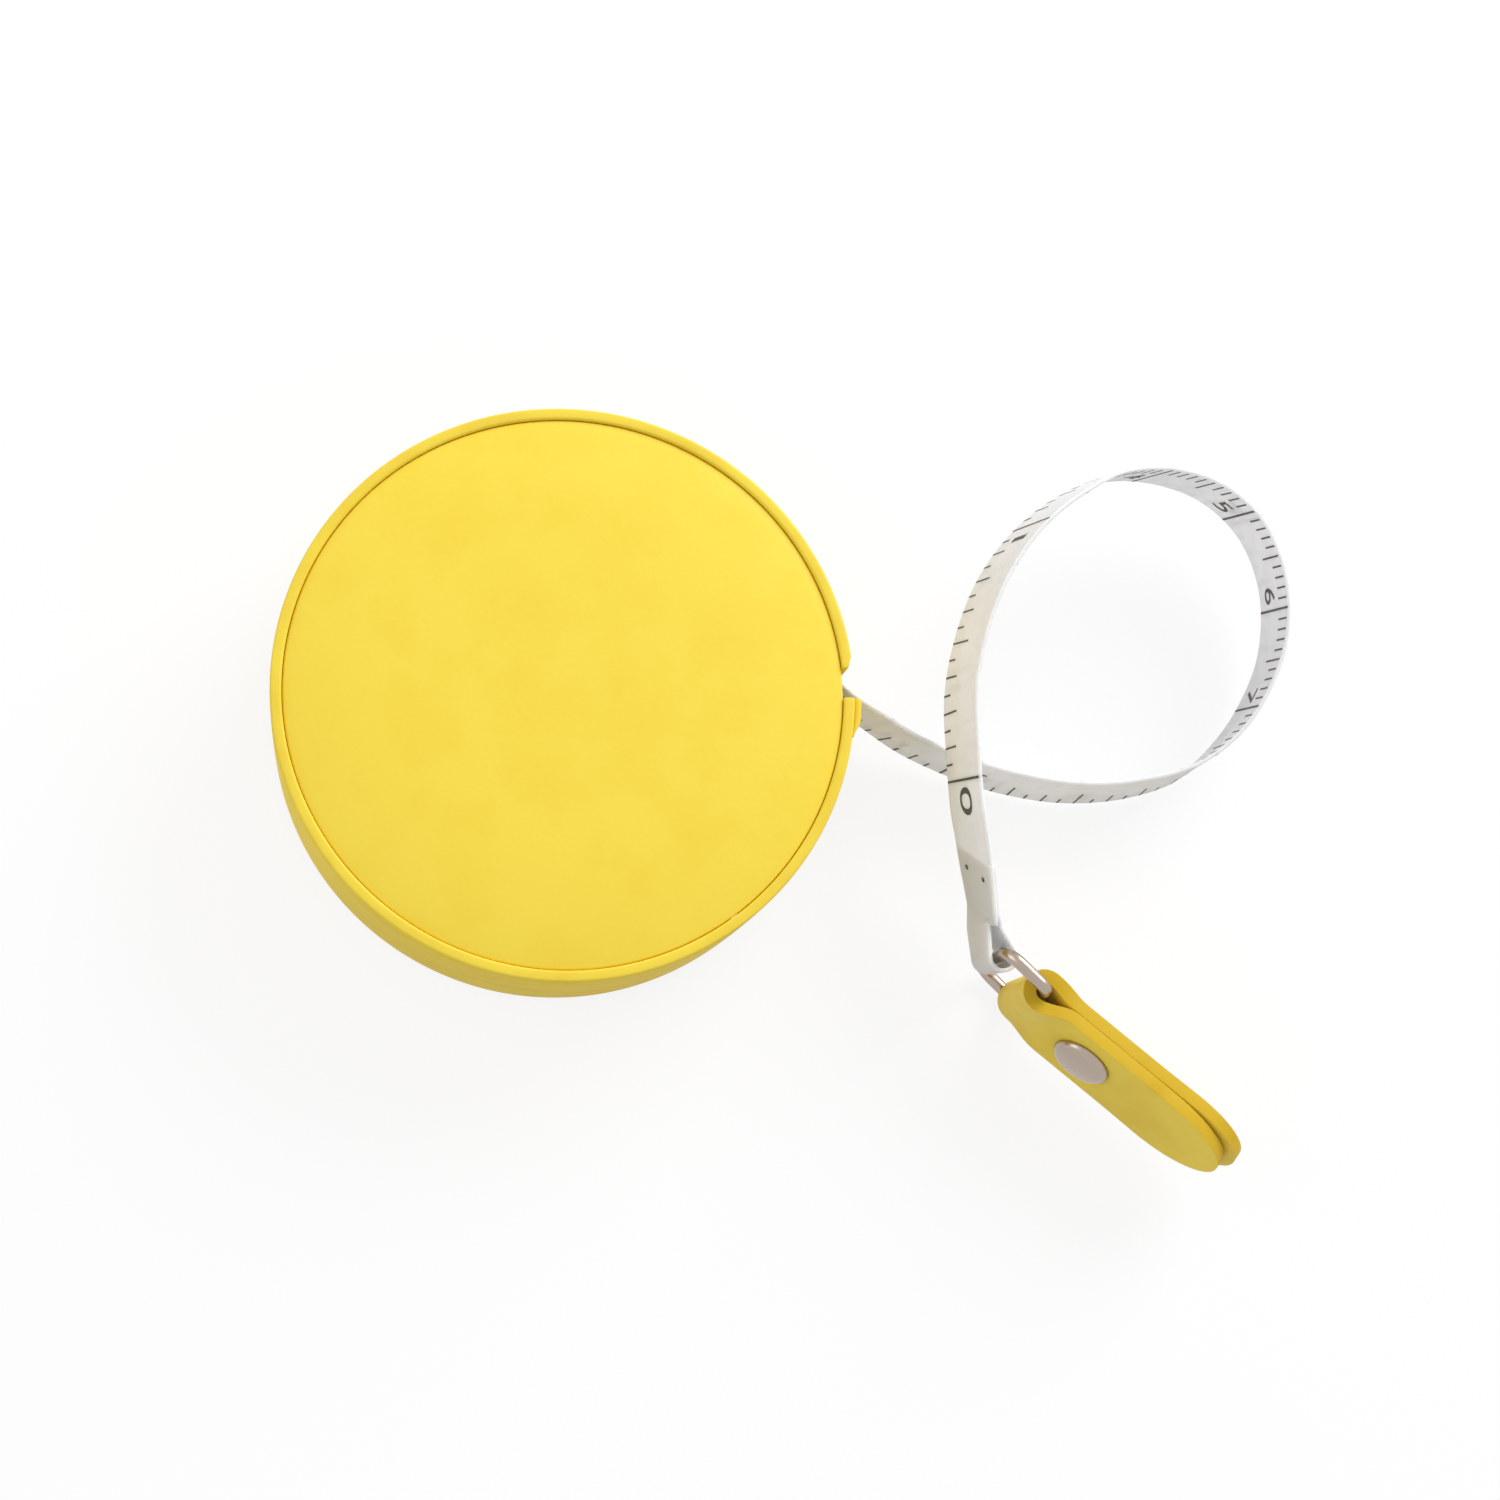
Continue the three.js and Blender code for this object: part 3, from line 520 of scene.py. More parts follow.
@dataclass(frozen=True)
class PrintInk(Finish):
    """Printing ink pressed into cloth: a warm black that is a little thin in places.

    Attributes:
        thin: its colour where it is thin.
        patch: size of the thin places.
    """

    thin: str
    patch: float = 0.5 * MM

    def make(self) -> Material:
        """Makes the material."""
        material, tree, shader = new_material(self.name)
        place = add_node(tree, "TexCoord", "Object", {})
        cover = add_node(tree, "TexNoise", "Fac", {"Vector": place, "Scale": 1 / self.patch, "Detail": 3.0})
        colour = clouded(tree, cover, self.colour, self.thin, low=0.45, high=0.8)
        gloss = add_node(tree, "MapRange", "Result", {"Value": cover, "To Min": 0.5, "To Max": 0.7})
        feed(tree, shader, Base_Color=colour, Roughness=gloss)
        return material


@dataclass(frozen=True)
class PlatedMetal(Finish):
    """Metal, plated or rolled and worn in use: clear reflections with fine rubbed marks.

    Attributes:
        roughness: its roughness.
        polished: how much smoother it is where it is rubbed.
        worn: how much rougher it is where it is worn.
        marks: size of the rubbed marks along X, Y and Z.
        depth: depth of the marks.
    """

    roughness: float
    polished: float = 0.07
    worn: float = 0.1
    marks: tuple[float, float, float] = (0.3 * MM, 0.3 * MM, 1.2 * MM)
    depth: float = 0.004 * MM

    def make(self) -> Material:
        """Makes the material."""
        material, tree, shader = new_material(self.name, Metallic=1.0, Base_Color=linear(self.colour))
        place = add_node(tree, "TexCoord", "Object", {})
        scale = tuple(1 / size for size in self.marks)
        spread = add_node(tree, "Mapping", "Vector", {"Vector": place, "Scale": scale})
        marks = add_node(
            tree, "TexNoise", "Fac", {"Vector": spread, "Scale": 1.0, "Detail": 6.0, "Roughness": 0.7}
        )
        ends = {"To Min": self.roughness - self.polished, "To Max": self.roughness + self.worn}
        gloss = add_node(tree, "MapRange", "Result", {"Value": marks, **NOISE_SPREAD, **ends})
        bumps = add_node(tree, "Bump", "Normal", {"Height": marks, "Strength": 0.1, "Distance": self.depth})
        feed(tree, shader, Roughness=gloss, Normal=bumps)
        return material


@dataclass(frozen=True)
class MouldedPlastic(Finish):
    """Injection-moulded plastic or rubber: one colour all through, with the fine texture of its mould.

    Attributes:
        roughness: middle value of its roughness.
        uneven: how far the roughness strays from that.
        texture: grain of the mould. Sparks of about 0.1 mm are drawn this much coarser, to show.
        depth: height of that grain.
    """

    roughness: float = 0.42
    uneven: float = 0.06
    texture: float = 0.25 * MM
    depth: float = 0.01 * MM

    def make(self) -> Material:
        """Makes the material."""
        material, tree, shader = new_material(self.name, Base_Color=linear(self.colour), IOR=1.53)
        place = add_node(tree, "TexCoord", "Object", {})
        scale = 1 / self.texture
        sparks = add_node(tree, "TexNoise", "Fac", {"Vector": place, "Scale": scale, "Detail": 3.0})
        ends = {"To Min": self.roughness - self.uneven, "To Max": self.roughness + self.uneven}
        gloss = add_node(tree, "MapRange", "Result", {"Value": sparks, **NOISE_SPREAD, **ends})
        bumps = add_node(tree, "Bump", "Normal", {"Height": sparks, "Strength": 0.4, "Distance": self.depth})
        feed(tree, shader, Roughness=gloss, Normal=bumps)
        return material


@dataclass(frozen=True)
class OpenFoam(Finish):
    """Polyurethane foam, cut from a block: a dull cream with open cells.

    Attributes:
        shade: its darker colour in the middle of each cell, painted shade where the cells sink in.
        cell: width of a cell.
        depth: depth of a cell.
    """

    shade: str
    cell: float = 0.5 * MM
    depth: float = 0.1 * MM

    def make(self) -> Material:
        """Makes the material."""
        material, tree, shader = new_material(self.name, Roughness=0.9)
        place = add_node(tree, "TexCoord", "Object", {})
        cells = add_node(tree, "TexVoronoi", "Distance", {"Vector": place, "Scale": 1 / self.cell})
        # Darker where each cell sinks in: painted shade in the cells.
        colour = clouded(tree, cells, self.shade, self.colour)
        bumps = add_node(tree, "Bump", "Normal", {"Height": cells, "Strength": 0.8, "Distance": self.depth})
        feed(tree, shader, Base_Color=colour, Normal=bumps)
        return material


# Camera, light and floor


@dataclass
class Studio:
    """White table under a soft key light from the upper right, seen from almost straight above.

    Attributes:
        camera_place: where the camera stands.
        camera_turn: its turn about X, Y and Z, in degrees.
        lens: its focal length in millimetres.
        sensor: width of its sensor in millimetres.
        nearest: nearest distance that it sees.
        key_place: where the key light hangs.
        key_power: its power in watts.
        fill_place: where the weaker light on the left hangs.
        fill_power: its power in watts.
        light_size: width of both lights.
        sky: strength of the even light from all round.
        floor_size: width of the table.
        floor_drop: how far the table lies below the object.
        floor_colour: colour of the table where light falls on it.
        floor_white: strength of the white that is seen of the table.
        floor_share: share of that white.
    """

    camera_place: Vector = field(default_factory=lambda: Vector((-18.4, -47.9, 238.5)) * MM)
    camera_turn: tuple[float, float, float] = (10.75, -8.77, 0.0)
    lens: float = 63.02
    sensor: float = 36.0
    nearest: float = 5 * MM
    key_place: Vector = field(default_factory=lambda: Vector((0.33, 0.37, 0.28)))
    key_power: float = 2.5
    fill_place: Vector = field(default_factory=lambda: Vector((-0.42, 0.1, 0.2)))
    fill_power: float = 0.45
    light_size: float = 0.34
    sky: float = 0.58
    floor_size: float = 6.0
    floor_drop: float = 0.05 * MM
    floor_colour: str = "#d6d6d6"
    floor_white: float = 1.1
    floor_share: float = 0.76

    def clear(self) -> None:
        """Removes the objects of the starting scene."""
        for name in ("Cube", "Light", "Camera"):
            if name in bpy.data.objects:
                bpy.data.objects.remove(bpy.data.objects[name])

    def set_camera(self) -> None:
        """Stands the camera where the photograph was taken from."""
        lens = bpy.data.cameras.new("photo_camera")
        lens.lens = self.lens
        lens.sensor_width = self.sensor
        lens.clip_start = self.nearest
        camera = link_object("photo_camera", lens)
        camera.location = self.camera_place
        camera.rotation_euler = [radians(turn_by) for turn_by in self.camera_turn]
        bpy.context.scene.camera = camera
        bpy.context.scene.view_settings.view_transform = "Standard"

    def set_lights(self) -> None:
        """Hangs both lights and sets the even light, which is plain white where it is seen."""
        self.hang_light("key_light", self.key_place, self.key_power)
        self.hang_light("fill_light", self.fill_place, self.fill_power)
        world = bpy.data.worlds.new("white_room")
        world.use_nodes = True
        bpy.context.scene.world = world
        tree = world.node_tree
        seen = self.seen_share(tree)
        strength = add_node(tree, "MapRange", "Result", {"Value": seen, "To Min": self.sky, "To Max": 1.0})
        background = tree.nodes["Background"]
        background.inputs["Color"].default_value = linear("#ffffff")
        feed(tree, background, Strength=strength)

    def hang_light(self, name: str, place: Vector, power: float) -> None:
        """Hangs a soft light that faces the object.

        Args:
            name: the light's name.
            place: where it hangs.
            power: its power in watts.
        """
        lamp = bpy.data.lights.new(name, "AREA")
        lamp.size = self.light_size
        lamp.energy = power
        light = link_object(name, lamp)
        light.location = place
        light.rotation_euler = place.to_track_quat("Z", "Y").to_euler()

    def seen_share(self, tree: NodeTree) -> Socket:
        """Gives the output that is 1 for rays from the camera, and for those by way of metal or glass.

        Args:
            tree: the node tree that it is used in.

        Returns:
            The output.
        """
        rays = add_node(tree, "LightPath", "Is Camera Ray", {}).node.outputs
        seen = rays["Is Camera Ray"]
        for kind in ("Is Glossy Ray", "Is Transmission Ray"):
            seen = add_node(tree, "Math", "Value", {0: seen, 1: rays[kind]}, operation="MAXIMUM")
        return seen

    def lay_floor(self) -> None:
        """Lays the white table, which keeps a pale shadow."""
        clear_selection()
        bpy.ops.mesh.primitive_plane_add(size=self.floor_size, location=(0.0, 0.0, -self.floor_drop))
        floor = bpy.context.active_object
        floor.name = "white_table"
        material, tree, shader = new_material(
            "white_paper", Base_Color=linear(self.floor_colour), Roughness=0.9
        )
        glow = add_node(tree, "Emission", "Emission", {"Strength": self.floor_white})
        seen = self.seen_share(tree)
        share = add_node(tree, "Math", "Value", {0: seen, 1: self.floor_share}, operation="MULTIPLY")
        mixed = add_node(tree, "MixShader", "Shader", {0: share, 1: shader.outputs["BSDF"], 2: glow})
        feed(tree, tree.nodes["Material Output"], Surface=mixed)
        paint(floor, material)


# Cloth tape


@dataclass(frozen=True)
class TapeSection:
    """Place and directions of the tape at one distance along it.

    Attributes:
        middle: middle of the section.
        along: direction of travel towards the ring.
        across: through the thickness, to the left of travel.
        up: up the width.
        drawn_in: how much of the lower half is drawn in, from 0 to 1.
    """

    middle: Vector
    along: Vector
    across: Vector
    up: Vector
    drawn_in: float = 0.0

    def at(self, side: float, edge: float) -> Vector:
        """Gives the point that is this far through the thickness and up the width."""
        height = edge * (1 - self.drawn_in) if edge < 0 else edge
        return self.middle + self.across * side + self.up * height


@dataclass(frozen=True)
class PrintedScale:
    """Scale printed on one face of the tape, which grows from the ring to the reel.

    Attributes:
        name: the piece's name.
        step: distance from tick to tick.
        ticks: how many steps make one numbered unit.
        lengths: length of the tick at each multiple of so many steps, longest multiple first.
        inset: distance of the ticks from the edge.
        face: 1 for the face to the left of travel towards the ring, -1 for the right.
        tick_edge: 1 where the ticks stand on the upper edge, -1 on the lower.
        first: the first number printed.
        height: height of the digits.
        stretch: width of the digits against their own shape.
        base: distance of the digits' foot from the plain edge.
        gap: distance of the digits from their line.
    """

    name: str
    step: float
    ticks: int
    lengths: tuple[tuple[int, float], ...]
    inset: float
    face: int
    tick_edge: int
    first: int
    height: float
    stretch: float
    base: float
    gap: float = 0.5 * MM


CENTIMETRES = PrintedScale(
    name="centimetre_print", step=1 * MM, ticks=10, lengths=((10, 7.2 * MM), (5, 3.8 * MM), (1, 2.1 * MM)),
    inset=0.4 * MM, face=1, tick_edge=1, first=1, height=2.5 * MM, stretch=1.04, base=1.6 * MM,
)
INCHES = PrintedScale(
    name="inch_print", step=25.4 / 16 * MM, ticks=16,
    lengths=((16, 7.2 * MM), (8, 3.5 * MM), (4, 2.9 * MM), (2, 2.4 * MM), (1, 1.4 * MM)),
    inset=0.15 * MM, face=-1, tick_edge=-1, first=0, height=2.6 * MM, stretch=1.5, base=2.25 * MM,
)


@dataclass
class ClothTape:
    """Printed cloth tape, from the reel through the mouth of the case and one loop to the wire ring.

    Attributes:
        cloth: the tape's finish.
        doubled_cloth: the finish of its doubled end, a whiter, bluer copy of the cloth: painted light that
            lifts the shade and the yellow bounce on that stretch.
        ink: the finish of the print.
        width: width of the tape.
        thickness: its thickness.
        edge_round: rounding of its edges.
        facet: length of one facet along it.
        mouth: middle of the tape where it leaves the case, in millimetres.
        route: middle and lean of the tape outside the case, in millimetres and degrees.
        lead_radius: radius at which the tape leaves the winding, in millimetres.
        coil_inner: inside radius of the winding.
        coil_pitch: distance from turn to turn on the reel.
        coil_room: how far inside the leaving tape the last turn lies.
        coil_facets: facets of one turn.
        bar_gap: room between the wire ring and the fold.
        bar_radius: radius of the ring's wire.
        fold_start: where the two layers part, before the middle of the ring's bar.
        fold_corner: how much of the lower half is drawn in where the fold rides up the ring's corner.
        layer_gap: room between the two layers.
        doubled: length of the folded-back end.
        end_slip: how much lower the folded-back end lies than the tape.
        slip_share: share of that end over which it gets so low.
        zero_before_bar: distance of the printed zero from the ring's bar.
        print_margin: length without print next to the winding.
        print_height: thickness of the print.
        unit_line: width of the lines with a number.
        tick_line: width of the other lines.
        digit_slice: width of the slices that let a digit bend with the tape.
        digit_merge: distance at which a digit's doubled vertices are one.
    """

    cloth: Material
    doubled_cloth: Material
    ink: Material
    width: float = 7.5 * MM
    thickness: float = 0.35 * MM
    edge_round: float = 0.12 * MM
    facet: float = 0.5 * MM
    mouth: Vector = field(default_factory=lambda: Vector((25.7, 1.7, 6.9)))
    route: tuple[tuple[float, float, float, float], ...] = (
        (29.1, -0.3, 6.1, 0), (32.5, -2.1, 5.15, 1), (37.4, -3.9, 4.3, 3), (42.0, -5.2, 4.1, 4),
        (48.0, -6.0, 4.1, 4), (54.0, -5.5, 4.15, 4), (59.1, -3.9, 4.4, 2), (63.1, -0.7, 4.9, -2),
        (65.8, 3.2, 5.5, -2), (67.6, 8.2, 6.25, -1), (67.5, 14.1, 7.15, 1), (65.3, 19.0, 8.0, 3),
        (61.4, 22.1, 8.9, 5), (56.2, 23.3, 10.05, 7), (50.8, 22.6, 11.4, 10), (45.9, 19.9, 12.6, 12),
        (42.0, 16.5, 13.25, 12), (39.0, 12.4, 13.5, 12), (36.9, 7.5, 13.4, 11), (35.7, 1.8, 13.0, 10),
        (35.8, -4.3, 12.7, 9), (36.2, -8.7, 12.15, 8), (37.0, -12.2, 10.85, 6), (37.9, -15.6, 9.0, 4),
        (38.7, -18.7, 7.45, 1), (39.2, -20.6, 6.8, 0), (39.7, -22.0, 6.7, 0),
    )
    lead_radius: float = 19.19
    coil_inner: float = 13.6 * MM
    coil_pitch: float = 0.38 * MM
    coil_room: float = 0.48 * MM
    coil_facets: int = 60
    bar_gap: float = 0.45 * MM
    bar_radius: float = 0.6 * MM
    fold_start: float = 4.2 * MM
    fold_corner: float = 0.4
    layer_gap: float = 0.02 * MM
    doubled: float = 10.0 * MM
    end_slip: float = 0.4 * MM
    slip_share: float = 0.35
    zero_before_bar: float = 17.05 * MM
    print_margin: float = 1.5 * MM
    print_height: float = 0.02 * MM
    unit_line: float = 0.22 * MM
    tick_line: float = 0.17 * MM
    digit_slice: float = 0.3 * MM
    digit_merge: float = 0.001 * MM

    def __post_init__(self) -> None:
        """Works out the tape's middle line from the winding to the ring."""
        winding_middle = sum(corner.z for corner in map(Vector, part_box("tape_winding"))) / 2 / MM
        reach = hypot(self.mouth.x, self.mouth.y)
        angle = atan2(self.mouth.y, self.mouth.x) + acos(self.lead_radius / reach)
        leaving = Vector((self.lead_radius * cos(angle), self.lead_radius * sin(angle), winding_middle))
        halfway = (leaving + self.mouth) / 2
        halfway.z = winding_middle
        self.leaving_angle = angle
        stops = [leaving, halfway, self.mouth, *[Vector(stop[:3]) for stop in self.route]]
        self.points = [stop * MM for stop in stops]
        self.leans = [0.0, 0.0, 0.0, *[radians(stop[3]) for stop in self.route]]
        self.places: list[Vector] = []
        self.tangents: list[Vector] = []
        self.tilts: list[float] = []
        self.distances: list[float] = []
        self.trace_line()

    def trace_line(self, parts: int = 40) -> None:
        """Runs a smooth curve through the route's points and keeps it as short steps.

        Args:
            parts: steps between one point and the next.
        """
        points = [2 * self.points[0] - self.points[1], *self.points, 2 * self.points[-1] - self.points[-2]]
        for number in range(len(self.points) - 1):
            before, start, end, after = points[number:number + 4]
            first = sqrt((start - before).length)
            middle = sqrt((end - start).length)
            last = sqrt((after - end).length)
            leave = (start - before) / first - (end - before) / (first + middle) + (end - start) / middle
            arrive = (end - start) / middle - (after - start) / (middle + last) + (after - end) / last
            leave *= middle
            arrive *= middle
            square = 3 * (end - start) - 2 * leave - arrive
            cube = 2 * (start - end) + leave + arrive
            final = number == len(self.points) - 2
            for part in range(parts + final):
                share = part / parts
                self.places.append(start + (leave + (square + cube * share) * share) * share)
                self.tangents.append((leave + (2 * square + 3 * cube * share) * share).normalized())
                self.tilts.append(self.leans[number] * (1 - share) + self.leans[number + 1] * share)
        self.distances.append(0.0)
        for before, after in zip(self.places, self.places[1:]):
            self.distances.append(self.distances[-1] + (after - before).length)

    @property
    def length(self) -> float:
        """Length from the winding to the ring's bar."""
        return self.distances[-1]

    def section(self, distance: float) -> TapeSection:
        """Gives the tape's section at a distance from the winding.

        Args:
            distance: the distance along the tape.

        Returns:
            The section.
        """
        place = min(max(bisect_right(self.distances, distance) - 1, 0), len(self.distances) - 2)
        share = (distance - self.distances[place]) / (self.distances[place + 1] - self.distances[place])
        middle = self.places[place].lerp(self.places[place + 1], share)
        along = self.tangents[place].lerp(self.tangents[place + 1], share).normalized()
        tilt = self.tilts[place] * (1 - share) + self.tilts[place + 1] * share
        level = UP.cross(along).normalized()
        upright = along.cross(level)
        across = level * cos(tilt) - upright * sin(tilt)
        return TapeSection(middle, along, across, upright * cos(tilt) + level * sin(tilt))

    def fold_sections(
        self, bend_steps: int = 22, lead_steps: int = 4, end_steps: int = 14
    ) -> list[TapeSection]:
        """Gives the sections of the fold round the ring's bar and of the end that lies back on the tape.

        Args:
            bend_steps: facets of the bend round the bar.
            lead_steps: facets of the straight leads to the bend and from it.
            end_steps: facets of the end that lies back on the tape.

        Returns:
            Sections from where the layers part to the cut end.
        """
        end = self.section(self.length)
        rho = self.bar_radius + self.bar_gap + self.thickness / 2
        layer = self.thickness + self.layer_gap
        out = Vector((-self.fold_start, 0.0))
        back = Vector((-self.fold_start, layer))
        first = pi + acos(rho / out.length)
        last = tau + atan2(back.y, back.x) - acos(rho / back.length)
        bend = [Vector(direction) * rho for direction in arc(first, last, bend_steps)]
        shares = [step / lead_steps for step in range(1, lead_steps)]
        line = [out.lerp(bend[0], share) for share in shares] + bend
        line += [bend[-1].lerp(back, share) for share in shares]
        sections = []
        for before, here, after in zip([out, *line], line, [*line[1:], back]):
            travel = (after - before).normalized()
            along = end.along * travel.x + end.across * travel.y
            middle = end.middle + end.along * here.x + end.across * here.y
            drawn_in = self.fold_corner * smoothstep(here.x, -self.fold_start, rho)
            sections.append(TapeSection(middle, along, end.up.cross(along).normalized(), end.up, drawn_in))
        for step in range(end_steps + 1):
            share = step / end_steps
            beside = self.section(self.length - self.fold_start - (self.doubled - self.fold_start) * share)
            middle = beside.at(layer, -self.end_slip * smoothstep(share, 0.0, self.slip_share))
            sections.append(TapeSection(middle, -beside.along, -beside.across, beside.up))
        return sections

    def loft(self, name: str, sections: Sequence[TapeSection]) -> Piece:
        """Makes a closed ribbon through the sections, with its UV map in millimetres along and up the tape.

        Args:
            name: the piece's name.
            sections: the sections in order.

        Returns:
            The ribbon.
        """
        side = self.thickness / 2
        half = self.width / 2
        flat = half - self.edge_round
        heights = [-flat, -flat / 2, 0.0, flat / 2, flat]
        ring = [(-side, height) for height in heights] + [(0.0, half)]
        ring += [(side, height) for height in reversed(heights)] + [(0.0, -half)]
        corners = [section.at(*corner) for section in sections for corner in ring]
        count = len(ring)
        faces = [tuple(reversed(range(count))), tuple(range(len(corners) - count, len(corners)))]
        for row in range(len(sections) - 1):
            for place in range(count):
                beside = (place + 1) % count
                low, high = row * count, (row + 1) * count
                faces.append((low + place, low + beside, high + beside, high + place))
        mesh = bpy.data.meshes.new(name)
        mesh.from_pydata(corners, [], faces)
        travelled = [0.0]
        for before, after in zip(sections, sections[1:]):
            travelled.append(travelled[-1] + (after.middle - before.middle).length / MM)
        spread = mesh.uv_layers.new(name="tape_millimetres")
        for loop in mesh.loops:
            row, place = divmod(loop.vertex_index, count)
            spread.data[loop.index].uv = (travelled[row], ring[place][1] / MM)
        ribbon = link_object(name, mesh)
        select_only(ribbon)
        bpy.ops.object.mode_set(mode="EDIT")
        turn_out()
        shade_smooth(ribbon, angle=50.0)
        return ribbon

    def make_free_tape(self) -> Piece:
        """Makes the free tape with its folded end, which stays as it lies.

        Returns:
            The tape.
        """
        straight = self.length - self.fold_start
        steps = ceil(straight / self.facet)
        sections = [self.section(straight * step / steps) for step in range(steps + 1)]
        tape = self.loft("cloth_tape", sections + self.fold_sections())
        spread = tape.data.uv_layers[0].data
        for face in tape.data.polygons:
            along = sum(spread[place].uv.x for place in face.loop_indices) / face.loop_total
            # Faces along the doubled end take the whiter cloth: painted light over the shade there.
            face.material_index = int(along > (self.length - self.doubled) / MM)
        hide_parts("tape_run")
        dress(tape, Body.CASE, Slot.CLOTH, self.cloth, self.doubled_cloth)
        return tape

    def make_winding(self) -> None:
        """Makes the turns of tape on the reel."""
        low, high = map(Vector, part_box("tape_winding"))
        middle = Vector((0.0, 0.0, (low.z + high.z) / 2))
        first = self.coil_inner + self.thickness / 2
        last = self.lead_radius * MM - self.coil_room - self.thickness / 2
        turns = (last - first) / self.coil_pitch
        steps = ceil(turns * self.coil_facets)
        sections = []
        for step in range(steps + 1):
            turned = turns * step / steps
            angle = self.leaving_angle + tau * (turns - turned)
            outward = Vector((cos(angle), sin(angle), 0.0))
            along = Vector((outward.y, -outward.x, 0.0))
            radius = first + self.coil_pitch * turned
            sections.append(TapeSection(middle + outward * radius, along, outward, UP))
        winding = self.loft("wound_tape", sections)
        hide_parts("tape_winding")
        dress(winding, Body.REEL, Slot.CLOTH, self.cloth)

    def make_print(self, scale: PrintedScale) -> Piece:
        """Prints a scale flat, then lays it on its face of the tape.

        Args:
            scale: what is printed.

        Returns:
            The print.
        """
        flat = bmesh.new()
        zero = self.length - self.zero_before_bar
        count = int((zero - self.print_margin) / scale.step)
        sunk = -self.print_height / 2
        for number in range(count + 1):
            length = next(length for every, length in scale.lengths if number % every == 0)
            numbered = number % scale.ticks == 0
            broad = self.unit_line if numbered else self.tick_line
            inset = (self.width - length) / 2 if numbered else scale.inset
            middle = (number * scale.step, self.width - inset - length / 2, (sunk + self.print_height) / 2)
            size = Matrix.Diagonal((broad, length, self.print_height - sunk, 1.0))
            bmesh.ops.create_cube(flat, size=1.0, matrix=Matrix.Translation(middle) @ size)
        for number in range(scale.first, count // scale.ticks + 1):
            self.add_number(flat, scale, number)
        for corner in flat.verts:
            section = self.section(zero - corner.co.x)
            side = scale.face * (self.thickness / 2 + corner.co.z)
            corner.co = section.at(side, scale.tick_edge * (corner.co.y - self.width / 2))
        mesh = bpy.data.meshes.new(scale.name)
        flat.to_mesh(mesh)
        flat.free()
        printed = link_object(scale.name, mesh)
        dress(printed, Body.CASE, Slot.CLOTH, self.ink)
        return printed

    def add_number(self, flat: bmesh.types.BMesh, scale: PrintedScale, number: int) -> None:
        """Adds one number to a flat print, cut fine enough to bend with the tape.

        Args:
            flat: the flat print, with X from the zero and Y from the plain edge.
            scale: what is printed.
            number: the number.
        """
        clear_selection()
        bpy.ops.object.text_add()
        digits = bpy.context.active_object
        digits.data.body = str(number)
        digits.data.align_x = "RIGHT"
        digits.data.resolution_u = 4
        bpy.ops.object.convert(target="MESH")
        size = scale.height / DIGIT_HEIGHT
        foot = Vector((number * scale.ticks * scale.step - scale.gap, scale.base, 0.0))
        stretch = Matrix.Diagonal((size * scale.stretch, size, 1.0, 1.0))
        place_piece(digits, Matrix.Translation(foot) @ stretch)
        bpy.ops.object.mode_set(mode="EDIT")
        cut = min(corner.co.x for corner in bmesh.from_edit_mesh(digits.data).verts) + self.digit_slice
        while cut < foot.x:
            bpy.ops.mesh.select_all(action="SELECT")
            bpy.ops.mesh.bisect(plane_co=(cut, 0.0, 0.0), plane_no=(1.0, 0.0, 0.0))
            cut += self.digit_slice
        bpy.ops.mesh.select_all(action="SELECT")
        bpy.ops.mesh.remove_doubles(threshold=self.digit_merge)
        extrude_by(UP * self.print_height)
        close_and_turn_out()
        flat.from_mesh(digits.data)
        bpy.data.objects.remove(digits)

    def declare(self, steps: int = 60) -> None:
        """Args:
            steps: steps of its path.
        """
        stops = [self.section(self.length * step / steps).middle for step in range(steps + 1)]


# Ring, tab and rivet


